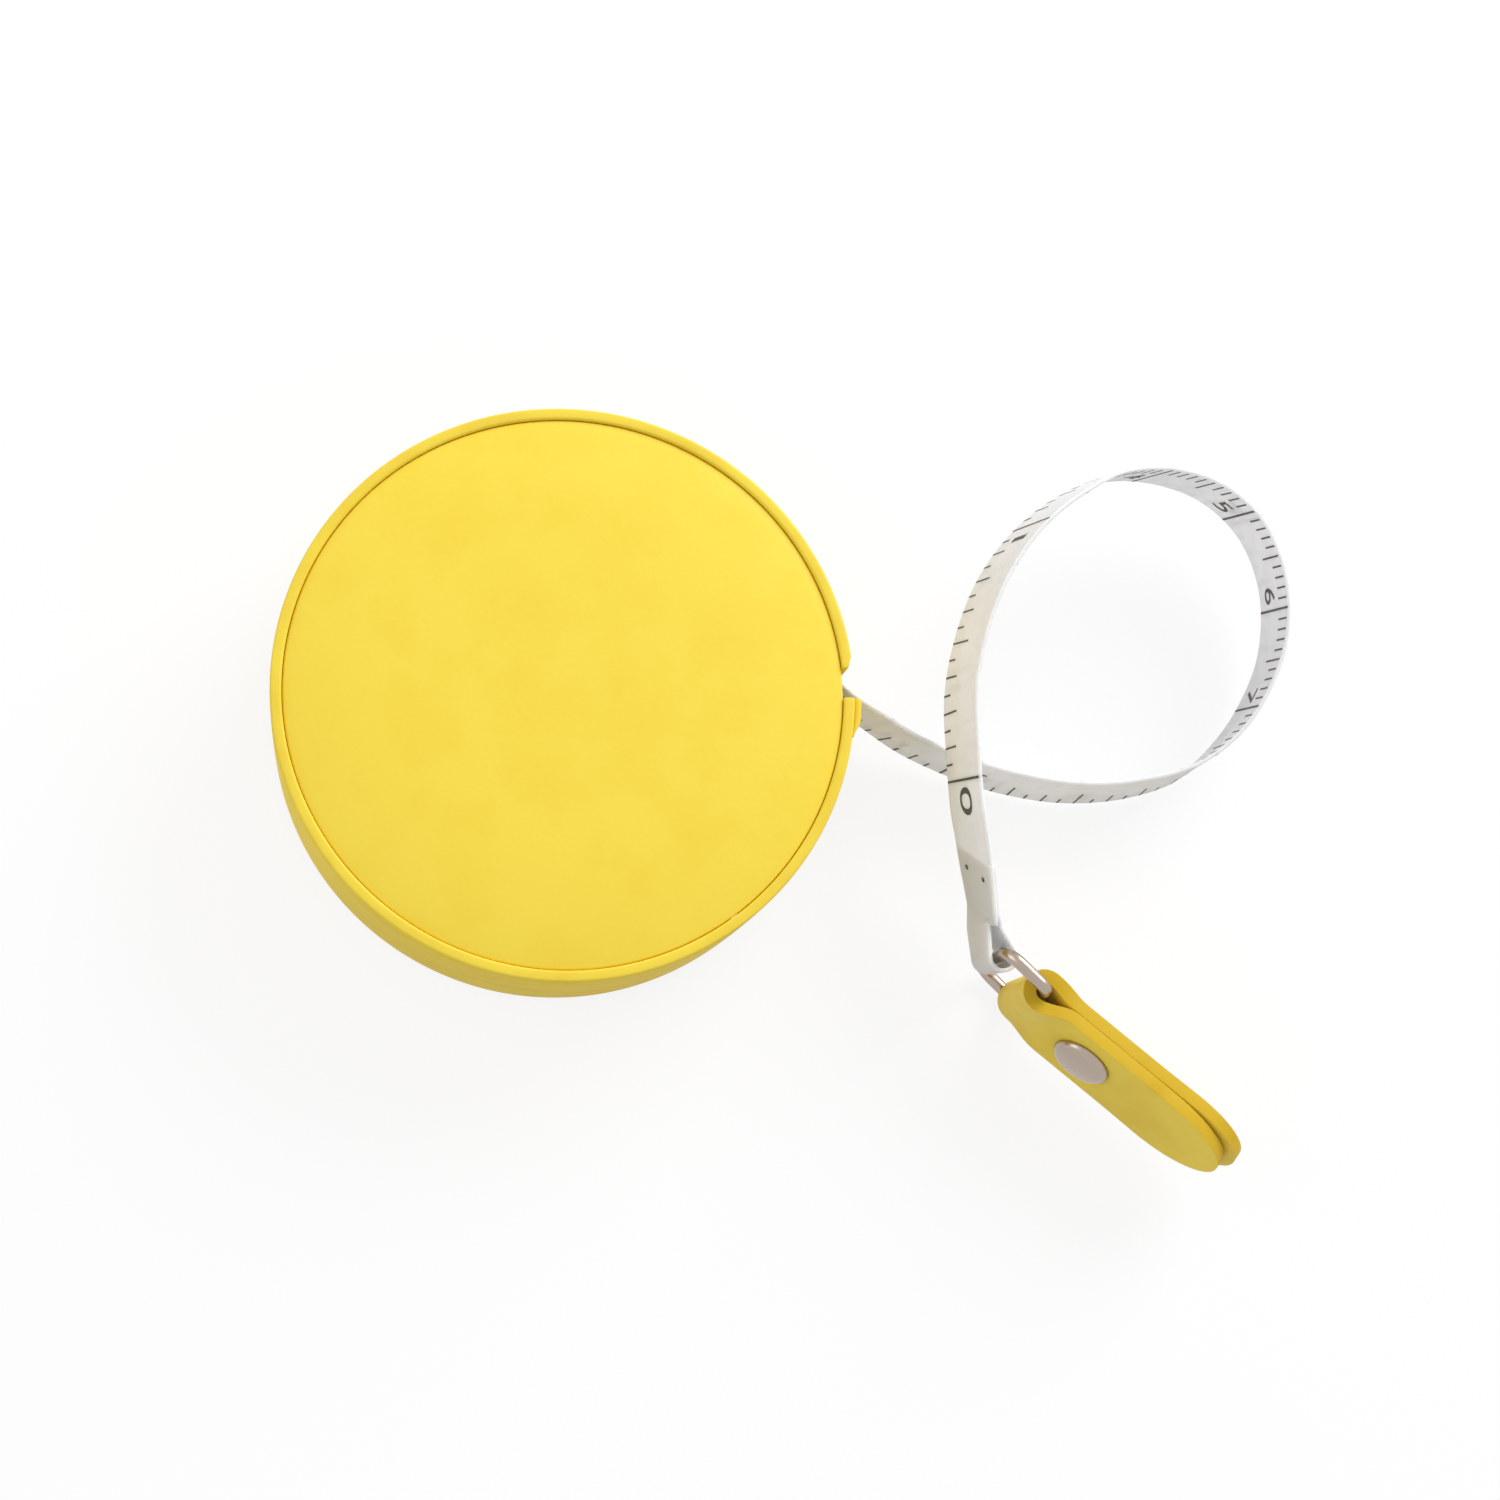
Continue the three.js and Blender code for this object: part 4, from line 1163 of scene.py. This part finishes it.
@dataclass
class PullEnd:
    """Wire ring in the tape's fold, and the leather tab that is folded round it and riveted.

    Attributes:
        metal: the finish of the wire and the rivet.
        hide: the leather's finish.
        edge: the finish of its cut edge.
        ring_place: middle of the bar in the tape's fold.
        wire: radius of the wire.
        ring_turn: turn of the ring about Z, in degrees.
        ring_reach: distance between the ring's two bars.
        ring_half: half the ring's height.
        tape_corner: bend of the corners next to the tape.
        tab_corner: bend of the corners in the tab.
        tab_turn: turn of the tab about Z, in degrees.
        tab_reach: distance from the bar to the tip.
        tab_width: width of the leather.
        tip: length of the tapering tip.
        tip_ends: angles of the tip's first and last row, in degrees.
        shorter: how much shorter the front layer is.
        leather: thickness of the leather.
        edge_round: rounding of its edges.
        side_slope: how far along Z a face points where it is on the cut sides.
        tip_slope: how little along Y it points where it is on the cut tip.
        fold: radius of the fold at the middle of the leather.
        forward: how far in front of the bar's middle the layers meet.
        pressed: distance of each layer's middle from where the layers meet, at the rivet.
        spread: the same at the tip.
        spread_from: distance from the bar where the layers begin to spread.
        pinch: distance from the bar over which the layers come together.
        lean: how far the tab leans, in degrees.
        rivet_at: distance of the rivet from the bar.
        dent: how much the leather is pressed in round the rivet.
        dent_reach: how far past the cap that goes.
        cap: radius of the rivet's cap.
        cap_seat: where the cap sits, from where the layers meet.
        cap_top: top of the cap, from where the layers meet.
        cap_foot: width and height of the small slope at the cap's lower edge.
        cap_shoulder: height of the cap's rounded shoulder.
        cap_round: width of that shoulder.
        cap_bow: how far the cap's face bows out.
        shank: radius of the rivet's shank.
        flange: radius of the rivet's back flange.
        flange_rim: width of the flange's rounded rim.
        flange_step: half the thickness of that rim.
        dish: radius and depth of each point of the flange's dished back, in millimetres.
    """

    metal: Material
    hide: Material
    edge: Material
    ring_place: Vector
    wire: float
    ring_turn: float = -44.0
    ring_reach: float = 4.9 * MM
    ring_half: float = 5.7 * MM
    tape_corner: float = 1.85 * MM
    tab_corner: float = 0.9 * MM
    tab_turn: float = -38.5
    tab_reach: float = 23.65 * MM
    tab_width: float = 9.5 * MM
    tip: float = 7.2 * MM
    tip_ends: tuple[float, float] = (86.0, 0.8)
    shorter: float = 1.0 * MM
    leather: float = 1.18 * MM
    edge_round: float = 0.5 * MM
    side_slope: float = 0.6
    tip_slope: float = 0.5
    fold: float = 1.4 * MM
    forward: float = 0.6 * MM
    pressed: float = 0.62 * MM
    spread: float = 0.8 * MM
    spread_from: float = 11.0 * MM
    pinch: float = 3.6 * MM
    lean: float = 12.0
    rivet_at: float = 7.1 * MM
    dent: float = 0.05
    dent_reach: float = 1.6 * MM
    cap: float = 2.8 * MM
    cap_seat: float = 1.18 * MM
    cap_top: float = 2.13 * MM
    cap_foot: tuple[float, float] = (0.08 * MM, 0.06 * MM)
    cap_shoulder: float = 0.72 * MM
    cap_round: float = 1.0 * MM
    cap_bow: float = 0.14 * MM
    shank: float = 0.9 * MM
    flange: float = 2.6 * MM
    flange_rim: float = 0.16 * MM
    flange_step: float = 0.18 * MM
    dish: tuple[tuple[float, float], ...] = ((1.8, 0.46), (1.2, 0.48), (0.95, 0.44), (0.8, 0.25), (0.0, 0.22))

    def make_ring(self) -> Piece:
        """Bends the wire ring: a round section, drawn along the four sides and spun round the corners.

        Returns:
            The ring.
        """
        tape_end = self.ring_half - self.tape_corner
        tab_end = self.ring_half - self.tab_corner
        side = self.ring_reach - self.tape_corner - self.tab_corner
        far = self.ring_reach - self.tab_corner
        runs = [
            ((0.0, 0.0, 2 * tape_end), (self.tape_corner, 0.0, tape_end)),
            ((side, 0.0, 0.0), (far, 0.0, tab_end)),
            ((0.0, 0.0, -2 * tab_end), (far, 0.0, -tab_end)),
            ((-side, 0.0, 0.0), (self.tape_corner, 0.0, -tape_end)),
        ]
        clear_selection()
        bpy.ops.mesh.primitive_circle_add(vertices=24, radius=self.wire, location=(0.0, 0.0, -tape_end))
        ring = bpy.context.active_object
        ring.name = "wire_ring"
        bpy.ops.object.transform_apply(location=True, rotation=True, scale=True)
        bpy.ops.object.mode_set(mode="EDIT")
        for run, corner in runs:
            extrude_by(Vector(run))
            bpy.ops.mesh.spin(steps=10, angle=pi / 2, center=corner, axis=(0.0, -1.0, 0.0))
        close_and_turn_out()
        place_piece(ring, self.ring_axes())
        shade_smooth(ring)
        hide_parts("d_ring")
        dress(ring, Body.RING, Slot.NICKEL, self.metal)
        return ring

    def layer_line(self, layer_reach: float, side: int, steps: int = 26) -> list[tuple[float, float, float]]:
        """Gives one layer's line from the tip to the fold.

        Args:
            layer_reach: distance from the bar to the layer's tip.
            side: 1 for the back layer, -1 for the front one.
            steps: rows of the straight part.

        Returns:
            Distance from the bar, distance from the bar's middle and half width of each row.
        """
        half = self.tab_width / 2
        shoulder = layer_reach - self.tip
        first, last = map(radians, self.tip_ends)
        rows = [(shoulder + self.tip * out, half * wide) for wide, out in arc(first, last, steps=12)]
        rows += [(shoulder * (1 - step / steps), half) for step in range(1, steps + 1)]
        line = []
        for reach, wide in rows:
            parting = (self.spread - self.pressed) * smoothstep(reach, self.spread_from, self.tab_reach)
            aside = side * (self.pressed + parting) - self.forward
            open_share = 1 - smoothstep(reach, 0.0, self.pinch)
            line.append((reach, aside + (side * self.fold - aside) * open_share, wide))
        return line

    def ring_axes(self) -> Matrix:
        """Gives the ring's axes: X from the tape's bar to the tab's, Z along the bars."""
        return Matrix.Translation(self.ring_place) @ Matrix.Rotation(radians(self.ring_turn), 4, "Z")

    def tab_axes(self) -> Matrix:
        """Gives the tab's axes: X to the tip, Y through the layers, Z along the ring's bar."""
        turned = Matrix.Rotation(radians(self.tab_turn - self.ring_turn), 4, "Z")
        return self.ring_axes() @ Matrix.Translation((self.ring_reach, 0.0, 0.0)) @ turned

    def make_tab(self, columns: int = 10) -> Piece:
        """Folds the leather tab: a row of points, drawn from one tip round the ring to the other.

        Args:
            columns: facets across the leather.

        Returns:
            The tab.
        """
        half = self.tab_width / 2
        back = self.layer_line(self.tab_reach, 1)
        front = self.layer_line(self.tab_reach - self.shorter, -1)
        # Round the ring's bar, from the back layer to the front one
        bend = arc(radians(105), radians(255), steps=10)
        rows = back + [(self.fold * out, self.fold * aside, half) for out, aside in bend] + front[::-1]
        reach, aside, wide = rows[0]
        tab = begin_vertex("leather_tab", Vector((reach, aside, -wide)))
        for _ in range(columns):
            extrude_by(UP * (2 * wide / columns))
        bpy.ops.mesh.select_all(action="SELECT")
        for before, after in zip(rows, rows[1:]):
            extrude_by(Vector((after[0] - before[0], after[1] - before[1], 0.0)))
            bpy.ops.transform.resize(
                value=(1.0, 1.0, after[2] / before[2]), center_override=(after[0], after[1], 0.0)
            )
        turn_out()
        wall = tab.modifiers.new("hide_thickness", "SOLIDIFY")
        wall.thickness = self.leather
        wall.offset = 0.0
        wall.use_even_offset = True
        bpy.ops.object.modifier_apply(modifier=wall.name)
        round_edges(tab, self.edge_round, segments=6)
        for face in tab.data.polygons:
            face.material_index = int(self.is_cut_edge(face))
        for corner in tab.data.vertices:
            corner.co = self.lean_point(self.press_point(corner.co))
        place_piece(tab, self.tab_axes())
        shade_smooth(tab)
        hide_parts("pull_tab")
        dress(tab, Body.TAB, Slot.TAB, self.hide, self.edge)
        return tab

    def is_cut_edge(self, face: bpy.types.MeshPolygon) -> bool:
        """Tells whether a face of the unplaced tab is on its cut edge."""
        in_tip = face.center.x > self.tab_reach - self.tip - self.shorter
        return abs(face.normal.z) > self.side_slope or (in_tip and abs(face.normal.y) < self.tip_slope)

    def press_point(self, point: Vector) -> Vector:
        """Presses a point of the leather in a little round the rivet.

        Args:
            point: the point, in the tab's axes.

        Returns:
            The pressed point.
        """
        from_rivet = hypot(point.x - self.rivet_at, point.z)
        near = 1 - smoothstep(from_rivet, self.cap, self.cap + self.dent_reach)
        away = point.y + self.forward
        outer = smoothstep(abs(away), self.pressed, self.pressed + self.leather / 2)
        return Vector((point.x, away * (1 - self.dent * near * outer) - self.forward, point.z))

    def lean_point(self, point: Vector) -> Vector:
        """Leans a point of the tab, which stands straight at the ring's bar."""
        angle = radians(self.lean) * smoothstep(point.x, 0.0, self.pinch)
        return Matrix.Rotation(-angle, 3, "X") @ point

    def rivet_axes(self) -> Matrix:
        """Gives the rivet's axes: Z out of the front layer."""
        lean = Matrix.Rotation(radians(90 - self.lean), 4, "X")
        to_middle = Matrix.Translation((0.0, 0.0, self.forward))
        return self.tab_axes() @ Matrix.Translation((self.rivet_at, 0.0, 0.0)) @ lean @ to_middle

    def make_cap(self) -> Piece:
        """Turns the rivet's cap: a shallow dome with a rounded shoulder.

        Returns:
            The cap.
        """
        seat = self.cap_seat
        flat = self.cap - self.cap_round
        rise = self.cap_top - self.cap_bow - self.cap_shoulder
        foot_in, foot_up = self.cap_foot
        outline = [(0.0, seat), (self.cap - foot_in, seat), (self.cap, seat + foot_up)]
        for out, up in arc(0.0, pi / 2, steps=6):
            outline.append((flat + self.cap_round * out, rise + self.cap_shoulder * up))
        steps = 8
        for step in range(1, steps + 1):
            radius = flat * (1 - step / steps)
            outline.append((radius, self.cap_top - self.cap_bow * (radius / flat) ** 2))
        cap = turn("rivet_dome", outline, steps=64)
        place_piece(cap, self.rivet_axes())
        shade_smooth(cap)
        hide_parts("rivet_cap")
        dress(cap, Body.TAB, Slot.NICKEL, self.metal)
        return cap

    def make_post(self) -> Piece:
        """Turns the rivet's shank and its dished back flange.

        Returns:
            The shank.
        """
        seat = self.cap_seat
        outline = [(0.0, seat), (self.shank, seat), (self.shank, -seat)]
        for up, out in arc(0.0, pi, steps=6):
            outline.append((
                self.flange - self.flange_rim * (1 - out), -seat - self.flange_step * (1 - up)
            ))
        outline += [(radius * MM, -seat - depth * MM) for radius, depth in self.dish]
        post = turn("rivet_shank", outline, steps=48)
        place_piece(post, self.rivet_axes())
        shade_smooth(post)
        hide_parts("rivet_post")
        dress(post, Body.TAB, Slot.NICKEL, self.metal)
        return post


# Case


@dataclass
class LeatherCase:
    """Round case in leather: a padded front, a flat back and a strip round the rim with the tape's mouth.

    Attributes:
        cover: the finish of the front and the back.
        strip: the finish of the strip round the rim.
        strip_edge: the finish of the strip's cut edge, paler than the strip: partly the edge's own dye,
            partly a painted sheen on these upward faces.
        foam: the pad's finish.
        crown: how far the pad lifts the middle of the front.
        crown_power: how flat the front stays towards its edge.
        edge_roll: rounding of the front's edge.
        edge_lift: how far the front's edge is drawn up against the strip.
        rim_pressed: how far the strip's top edge is pressed down.
        rim_gap: room between the front and the strip.
        hollow: how far the front's underside rises over the pad.
        hollow_power: how flat that underside stays towards its edge.
        front_bevel: slope at the lower edge of the front.
        give: how far below its top the front begins to go down with the button, and is fully with it; not
            used.
        pad_clear: room under the pad.
        pad_bevel: width of the slope at its lower edge.
        pad_edge: heights of its edge above its place.
        pad_room: room between its top and the front.
        pad_power: how flat it stays towards its edge.
        back_round: rounding of the back's lower edge.
        back_bevel: slope at its upper edge.
        band_leather: thickness of the strip.
        band_corner: rounding of the strip's edges.
        band_bulge: how far its outside swells.
        end_round: rounding of its ends.
        edge_slope: how far up a face points where it is on the cut edge.
        mouth_top: where the strip's upper end is at the mouth, along Y.
        mouth_bottom: the same for its lower end.
        pared: how much thinner the upper lip is at its end.
        pared_arc: how far it is pared along the rim.
        lip: thickness of the turned-back lower lip, from the strip's outside.
        lip_gap: room between it and the strip.
        lip_length: its length along the rim.
        lip_insets: how far it stays from the strip's lower and upper edge.
        lip_corner: rounding of its edges.
        lip_thin: share of its thickness that is left where it ends.
        lip_pared: how far it is pared along the rim.
        lip_round: rounding of its ends.
    """

    cover: Material
    strip: Material
    strip_edge: Material
    foam: Material
    crown: float = 1.1 * MM
    crown_power: int = 5
    edge_roll: float = 0.2 * MM
    edge_lift: float = 0.3 * MM
    rim_pressed: float = 0.2 * MM
    rim_gap: float = 0.04 * MM
    hollow: float = 0.5 * MM
    hollow_power: int = 4
    front_bevel: float = 0.2 * MM
    give: tuple[float, float] = (0.05 * MM, 0.002 * MM)
    pad_clear: float = 0.02 * MM
    pad_bevel: float = 0.15 * MM
    pad_edge: tuple[float, float] = (0.05 * MM, 0.07 * MM)
    pad_room: float = 0.05 * MM
    pad_power: int = 3
    back_round: float = 0.3 * MM
    back_bevel: float = 0.1 * MM
    band_leather: float = 1.0 * MM
    band_corner: float = 0.22 * MM
    band_bulge: float = 0.05 * MM
    end_round: float = 0.28 * MM
    edge_slope: float = 0.55
    mouth_top: float = 2.8 * MM
    mouth_bottom: float = 0.1 * MM
    pared: float = 0.4 * MM
    pared_arc: float = 1.2 * MM
    lip: float = 0.72 * MM
    lip_gap: float = 0.06 * MM
    lip_length: float = 3.4 * MM
    lip_insets: tuple[float, float] = (0.5 * MM, 0.6 * MM)
    lip_corner: float = 0.25 * MM
    lip_thin: float = 0.25
    lip_pared: float = 1.6 * MM
    lip_round: float = 0.12 * MM

    def make_front(self, steps: int = 30) -> None:
        """Turns the padded front. On the real case its middle gives with the button; that is not built here.

        Args:
            steps: facets from the edge to the middle.
        """
        low, high = map(Vector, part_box("front_cover"))
        radius = -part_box("rim_band")[0][0] - self.band_leather - self.rim_gap
        crown = self.crown - self.edge_lift
        edge = high.z - crown
        outline = []
        for share in (0.0, 0.3, 0.55, 0.75, 0.88, 0.96):
            outline.append((radius * share, low.z + self.hollow * (1 - share ** self.hollow_power)))
        outline += [(radius - self.front_bevel, low.z), (radius, low.z + self.front_bevel)]
        for out, up in arc(0.0, pi / 2, steps=6):
            reach = radius - self.edge_roll * (1 - out)
            swell = crown * (1 - (reach / radius) ** self.crown_power)
            outline.append((reach, edge + swell - self.edge_roll * (1 - up)))
        for step in range(1, steps + 1):
            reach = (radius - self.edge_roll) * (1 - step / steps)
            outline.append((reach, edge + crown * (1 - (reach / radius) ** self.crown_power)))
        front = turn("leather_front", outline, steps=128)
        shade_smooth(front)
        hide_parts("front_cover")
        paint(front, self.cover)
        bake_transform(front)

    def make_pad(self) -> None:
        """Turns the thin foam pad under the front."""
        low, high = map(Vector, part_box("front_pad"))
        radius = high.x
        bottom = low.z + self.pad_clear
        edge_low, edge_high = self.pad_edge
        rise = self.hollow - self.pad_room - edge_high
        outline = [(0.0, bottom), (radius - self.pad_bevel, bottom), (radius, low.z + edge_low)]
        for share in (0.97, 0.9, 0.8, 0.65, 0.45, 0.2, 0.0):
            outline.append((radius * share, low.z + edge_high + rise * (1 - share ** self.pad_power)))
        pad = turn("foam_pad", outline, steps=64)
        shade_smooth(pad)
        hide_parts("front_pad")
        dress(pad, Body.CASE, Slot.FOAM, self.foam)

    def make_back(self) -> None:
        """Turns the flat back that the case rests on."""
        low, high = map(Vector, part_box("back_cover"))
        radius = high.x
        outline = [(radius * share, low.z) for share in (0.0, 0.25, 0.5, 0.75)]
        for out, up in arc(-pi / 2, 0.0, steps=6):
            outline.append((radius - self.back_round * (1 - out), low.z + self.back_round * (1 + up)))
        outline += [(radius, high.z - self.back_bevel), (radius - self.back_bevel, high.z)]
        outline += [(radius / 2, high.z), (0.0, high.z)]
        back = turn("leather_back", outline, steps=128)
        shade_smooth(back)
        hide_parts("back_cover")
        dress(back, Body.CASE, Slot.COVER, self.cover)

    def make_band(self) -> None:
        """Bends the strip round the rim, with a pared upper lip and a turned-back lower lip at the mouth."""
        low, high = map(Vector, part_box("rim_band"))
        high.z -= self.rim_pressed
        outer = -low.x
        inner = outer - self.band_leather
        upper = asin(self.mouth_top / outer)
        lower = tau + asin(self.mouth_bottom / outer)
        section = rounded_section(inner, outer, low.z, high.z, self.band_corner, self.band_bulge)
        band = turn("leather_rim", section, steps=300, start=upper, sweep=lower - upper, closed=True)
        for corner in band.data.vertices:
            angle = atan2(corner.co.y, corner.co.x) % tau
            away = (angle + (tau if angle < upper / 2 else 0.0) - upper) * outer
            near = 1 - smoothstep(away, 0.0, self.pared_arc)
            radius = hypot(corner.co.x, corner.co.y)
            move_out(corner, radius - self.pared * near * (radius - inner) / self.band_leather)
        round_edges(band, self.end_round)
        lip = self.make_lip(outer, low.z, high.z)
        select_only(band)
        lip.select_set(True)
        bpy.ops.object.join()
        for face in band.data.polygons:
            # Upward faces, the cut edge, take the paler edge finish: partly its dye, partly painted sheen.
            face.material_index = int(face.normal.z > self.edge_slope)
        shade_smooth(band, angle=50.0)
        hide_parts("rim_band")
        dress(band, Body.CASE, Slot.BAND, self.strip, self.strip_edge)

    def make_lip(self, outer: float, bottom: float, top: float) -> Piece:
        """Makes the turned-back end of the strip, pared thin where it ends.

        Args:
            outer: outer radius of the strip.
            bottom: the strip's lower edge.
            top: the strip's upper edge.

        Returns:
            The lip.
        """
        inner = outer + self.lip_gap
        end = asin(self.mouth_bottom / outer)
        sweep = self.lip_length / outer
        from_bottom, from_top = self.lip_insets
        section = rounded_section(
            inner, outer + self.lip, bottom + from_bottom, top - from_top, self.lip_corner
        )
        lip = turn("turned_lip", section, steps=16, start=end - sweep, sweep=sweep, closed=True)
        for corner in lip.data.vertices:
            from_end = (atan2(corner.co.y, corner.co.x) - end + sweep) * outer
            thick = self.lip_thin + (1 - self.lip_thin) * smoothstep(from_end, 0.0, self.lip_pared)
            move_out(corner, inner + (hypot(corner.co.x, corner.co.y) - inner) * thick)
        round_edges(lip, self.lip_round)
        return lip


# Works inside the case


@dataclass(frozen=True)
class InnerWorks:
    """Casing, reel, springs and button inside the leather, which keep the shapes of the frame.

    Attributes:
        finishes: the finish of each real material, and the pieces that have it; the casing's dark grey is
            painted shade for the line round the front.
        spring_steel: the finish of both springs.
        press: how far the button goes down; not used.
    """

    finishes: tuple[tuple[MouldedPlastic | PlatedMetal, tuple[str, ...]], ...] = (
        # The casing's dark grey is painted shade: it darkens the line seen through the gap between the front
        # and the strip.
        (MouldedPlastic("casing_abs_painted_dark_for_shade", "#3a3a3c"), ("front_casing", "back_casing")),
        (MouldedPlastic("reel_acetal", "#e6e4dd", 0.36), ("reel_drum", "reel_lid")),
        (MouldedPlastic("button_acetal", "#c9c7c0", 0.38), ("press_button", "brake_plate")),
        (MouldedPlastic("brake_rubber", "#2a2928", 0.8), ("brake_ring",)),
        (PlatedMetal("zinc_plated_steel", "#b7b9ba", 0.34), ("spring_arbor", "arbor_screw")),
    )
    spring_steel: PlatedMetal = PlatedMetal("rolled_spring_steel", "#8f949b", 0.3)
    press: float = 1.2 * MM

    def finish(self) -> None:
        """Gives each inner piece the finish of its real material, except the casing, whose dark grey is
        painted shade.
        """
        for finish, names in self.finishes:
            material = finish.make()
            for name in names:
                paint(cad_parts[name], material)
        steel = self.spring_steel.make()
        paint(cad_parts["mainspring"], steel)
        self.make_brake_spring(steel)

    def make_brake_spring(self, steel: Material) -> None:
        """Copies the brake's coil spring, which is squeezed as the button goes down; the squeeze is not
        built.

        Args:
            steel: the spring's finish.
        """
        spring = link_object("brake_coil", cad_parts["brake_spring"].data.copy())
        select_only(spring)
        bpy.ops.object.mode_set(mode="EDIT")
        close_and_turn_out()
        shade_smooth(spring)
        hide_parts("brake_spring")
        dress(spring, Body.CASE, Slot.STEEL, steel)
        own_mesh(spring)


def main() -> None:
    """Builds the studio and the object's parts in order."""
    logging.basicConfig(level=logging.INFO, format="%(message)s")
    studio = Studio()
    studio.clear()
    studio.set_camera()

    tape = ClothTape(
        cloth=CoatedCloth("coated_cotton_tape", "#edeef5", "#e5e5e9").make(),
        # A whiter, bluer copy of the cloth for the doubled end: painted light against the shade there.
        doubled_cloth=CoatedCloth("coated_cotton_doubled_end_painted_light", "#f8fbff", "#f5f8fc").make(),
        ink=PrintInk("printing_ink", "#403c36", "#6a665e").make(),
    )
    free_tape = tape.make_free_tape()
    tape.make_winding()
    prints = [tape.make_print(scale) for scale in (CENTIMETRES, INCHES)]
    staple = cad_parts["tape_end_staple"]
    paint(staple, PlatedMetal("tarnished_steel_wire", "#5d5850", 0.4).make())

    pull_end = PullEnd(
        metal=PlatedMetal("nickel_plated_brass", "#b0a195", 0.24).make(),
        hide=DyedLeather("yellow_calf_tab", "#f7da50", "#eac83c", shine=0.2).make(),
        edge=DyedLeather("yellow_dyed_tab_edge", "#d8b32c", "#c9a020", grain=0.2 * MM, shine=0.15).make(),
        ring_place=tape.points[-1],
        wire=tape.bar_radius,
    )
    pull_pieces = [pull_end.make_ring(), pull_end.make_tab(), pull_end.make_cap(), pull_end.make_post()]
    tape.declare()

    streaks = (9 * MM, 9 * MM, 1.6 * MM)
    strip = DyedLeather("yellow_calf_strip", "#f6d72e", "#ebc624", streaks, roughness=0.48, shine=0.06)
    # The strip's edge finish is paler: partly the edge's dye, partly painted sheen.
    strip_edge = DyedLeather("yellow_dyed_edge_and_painted_sheen_of_strip", "#f8dc48", "#eecb3c", grain=0.2 * MM, roughness=0.45)
    case = LeatherCase(
        cover=DyedLeather("yellow_calf_cover", "#fade4b", "#f7d83f").make(),
        strip=strip.make(),
        strip_edge=strip_edge.make(),
        foam=OpenFoam("polyurethane_foam", "#d9cfae", "#a89c76").make(),
    )
    case.make_front()
    case.make_pad()
    case.make_back()
    case.make_band()
    InnerWorks().finish()

    studio.set_lights()
    studio.lay_floor()


if __name__ == "__main__":
    main()
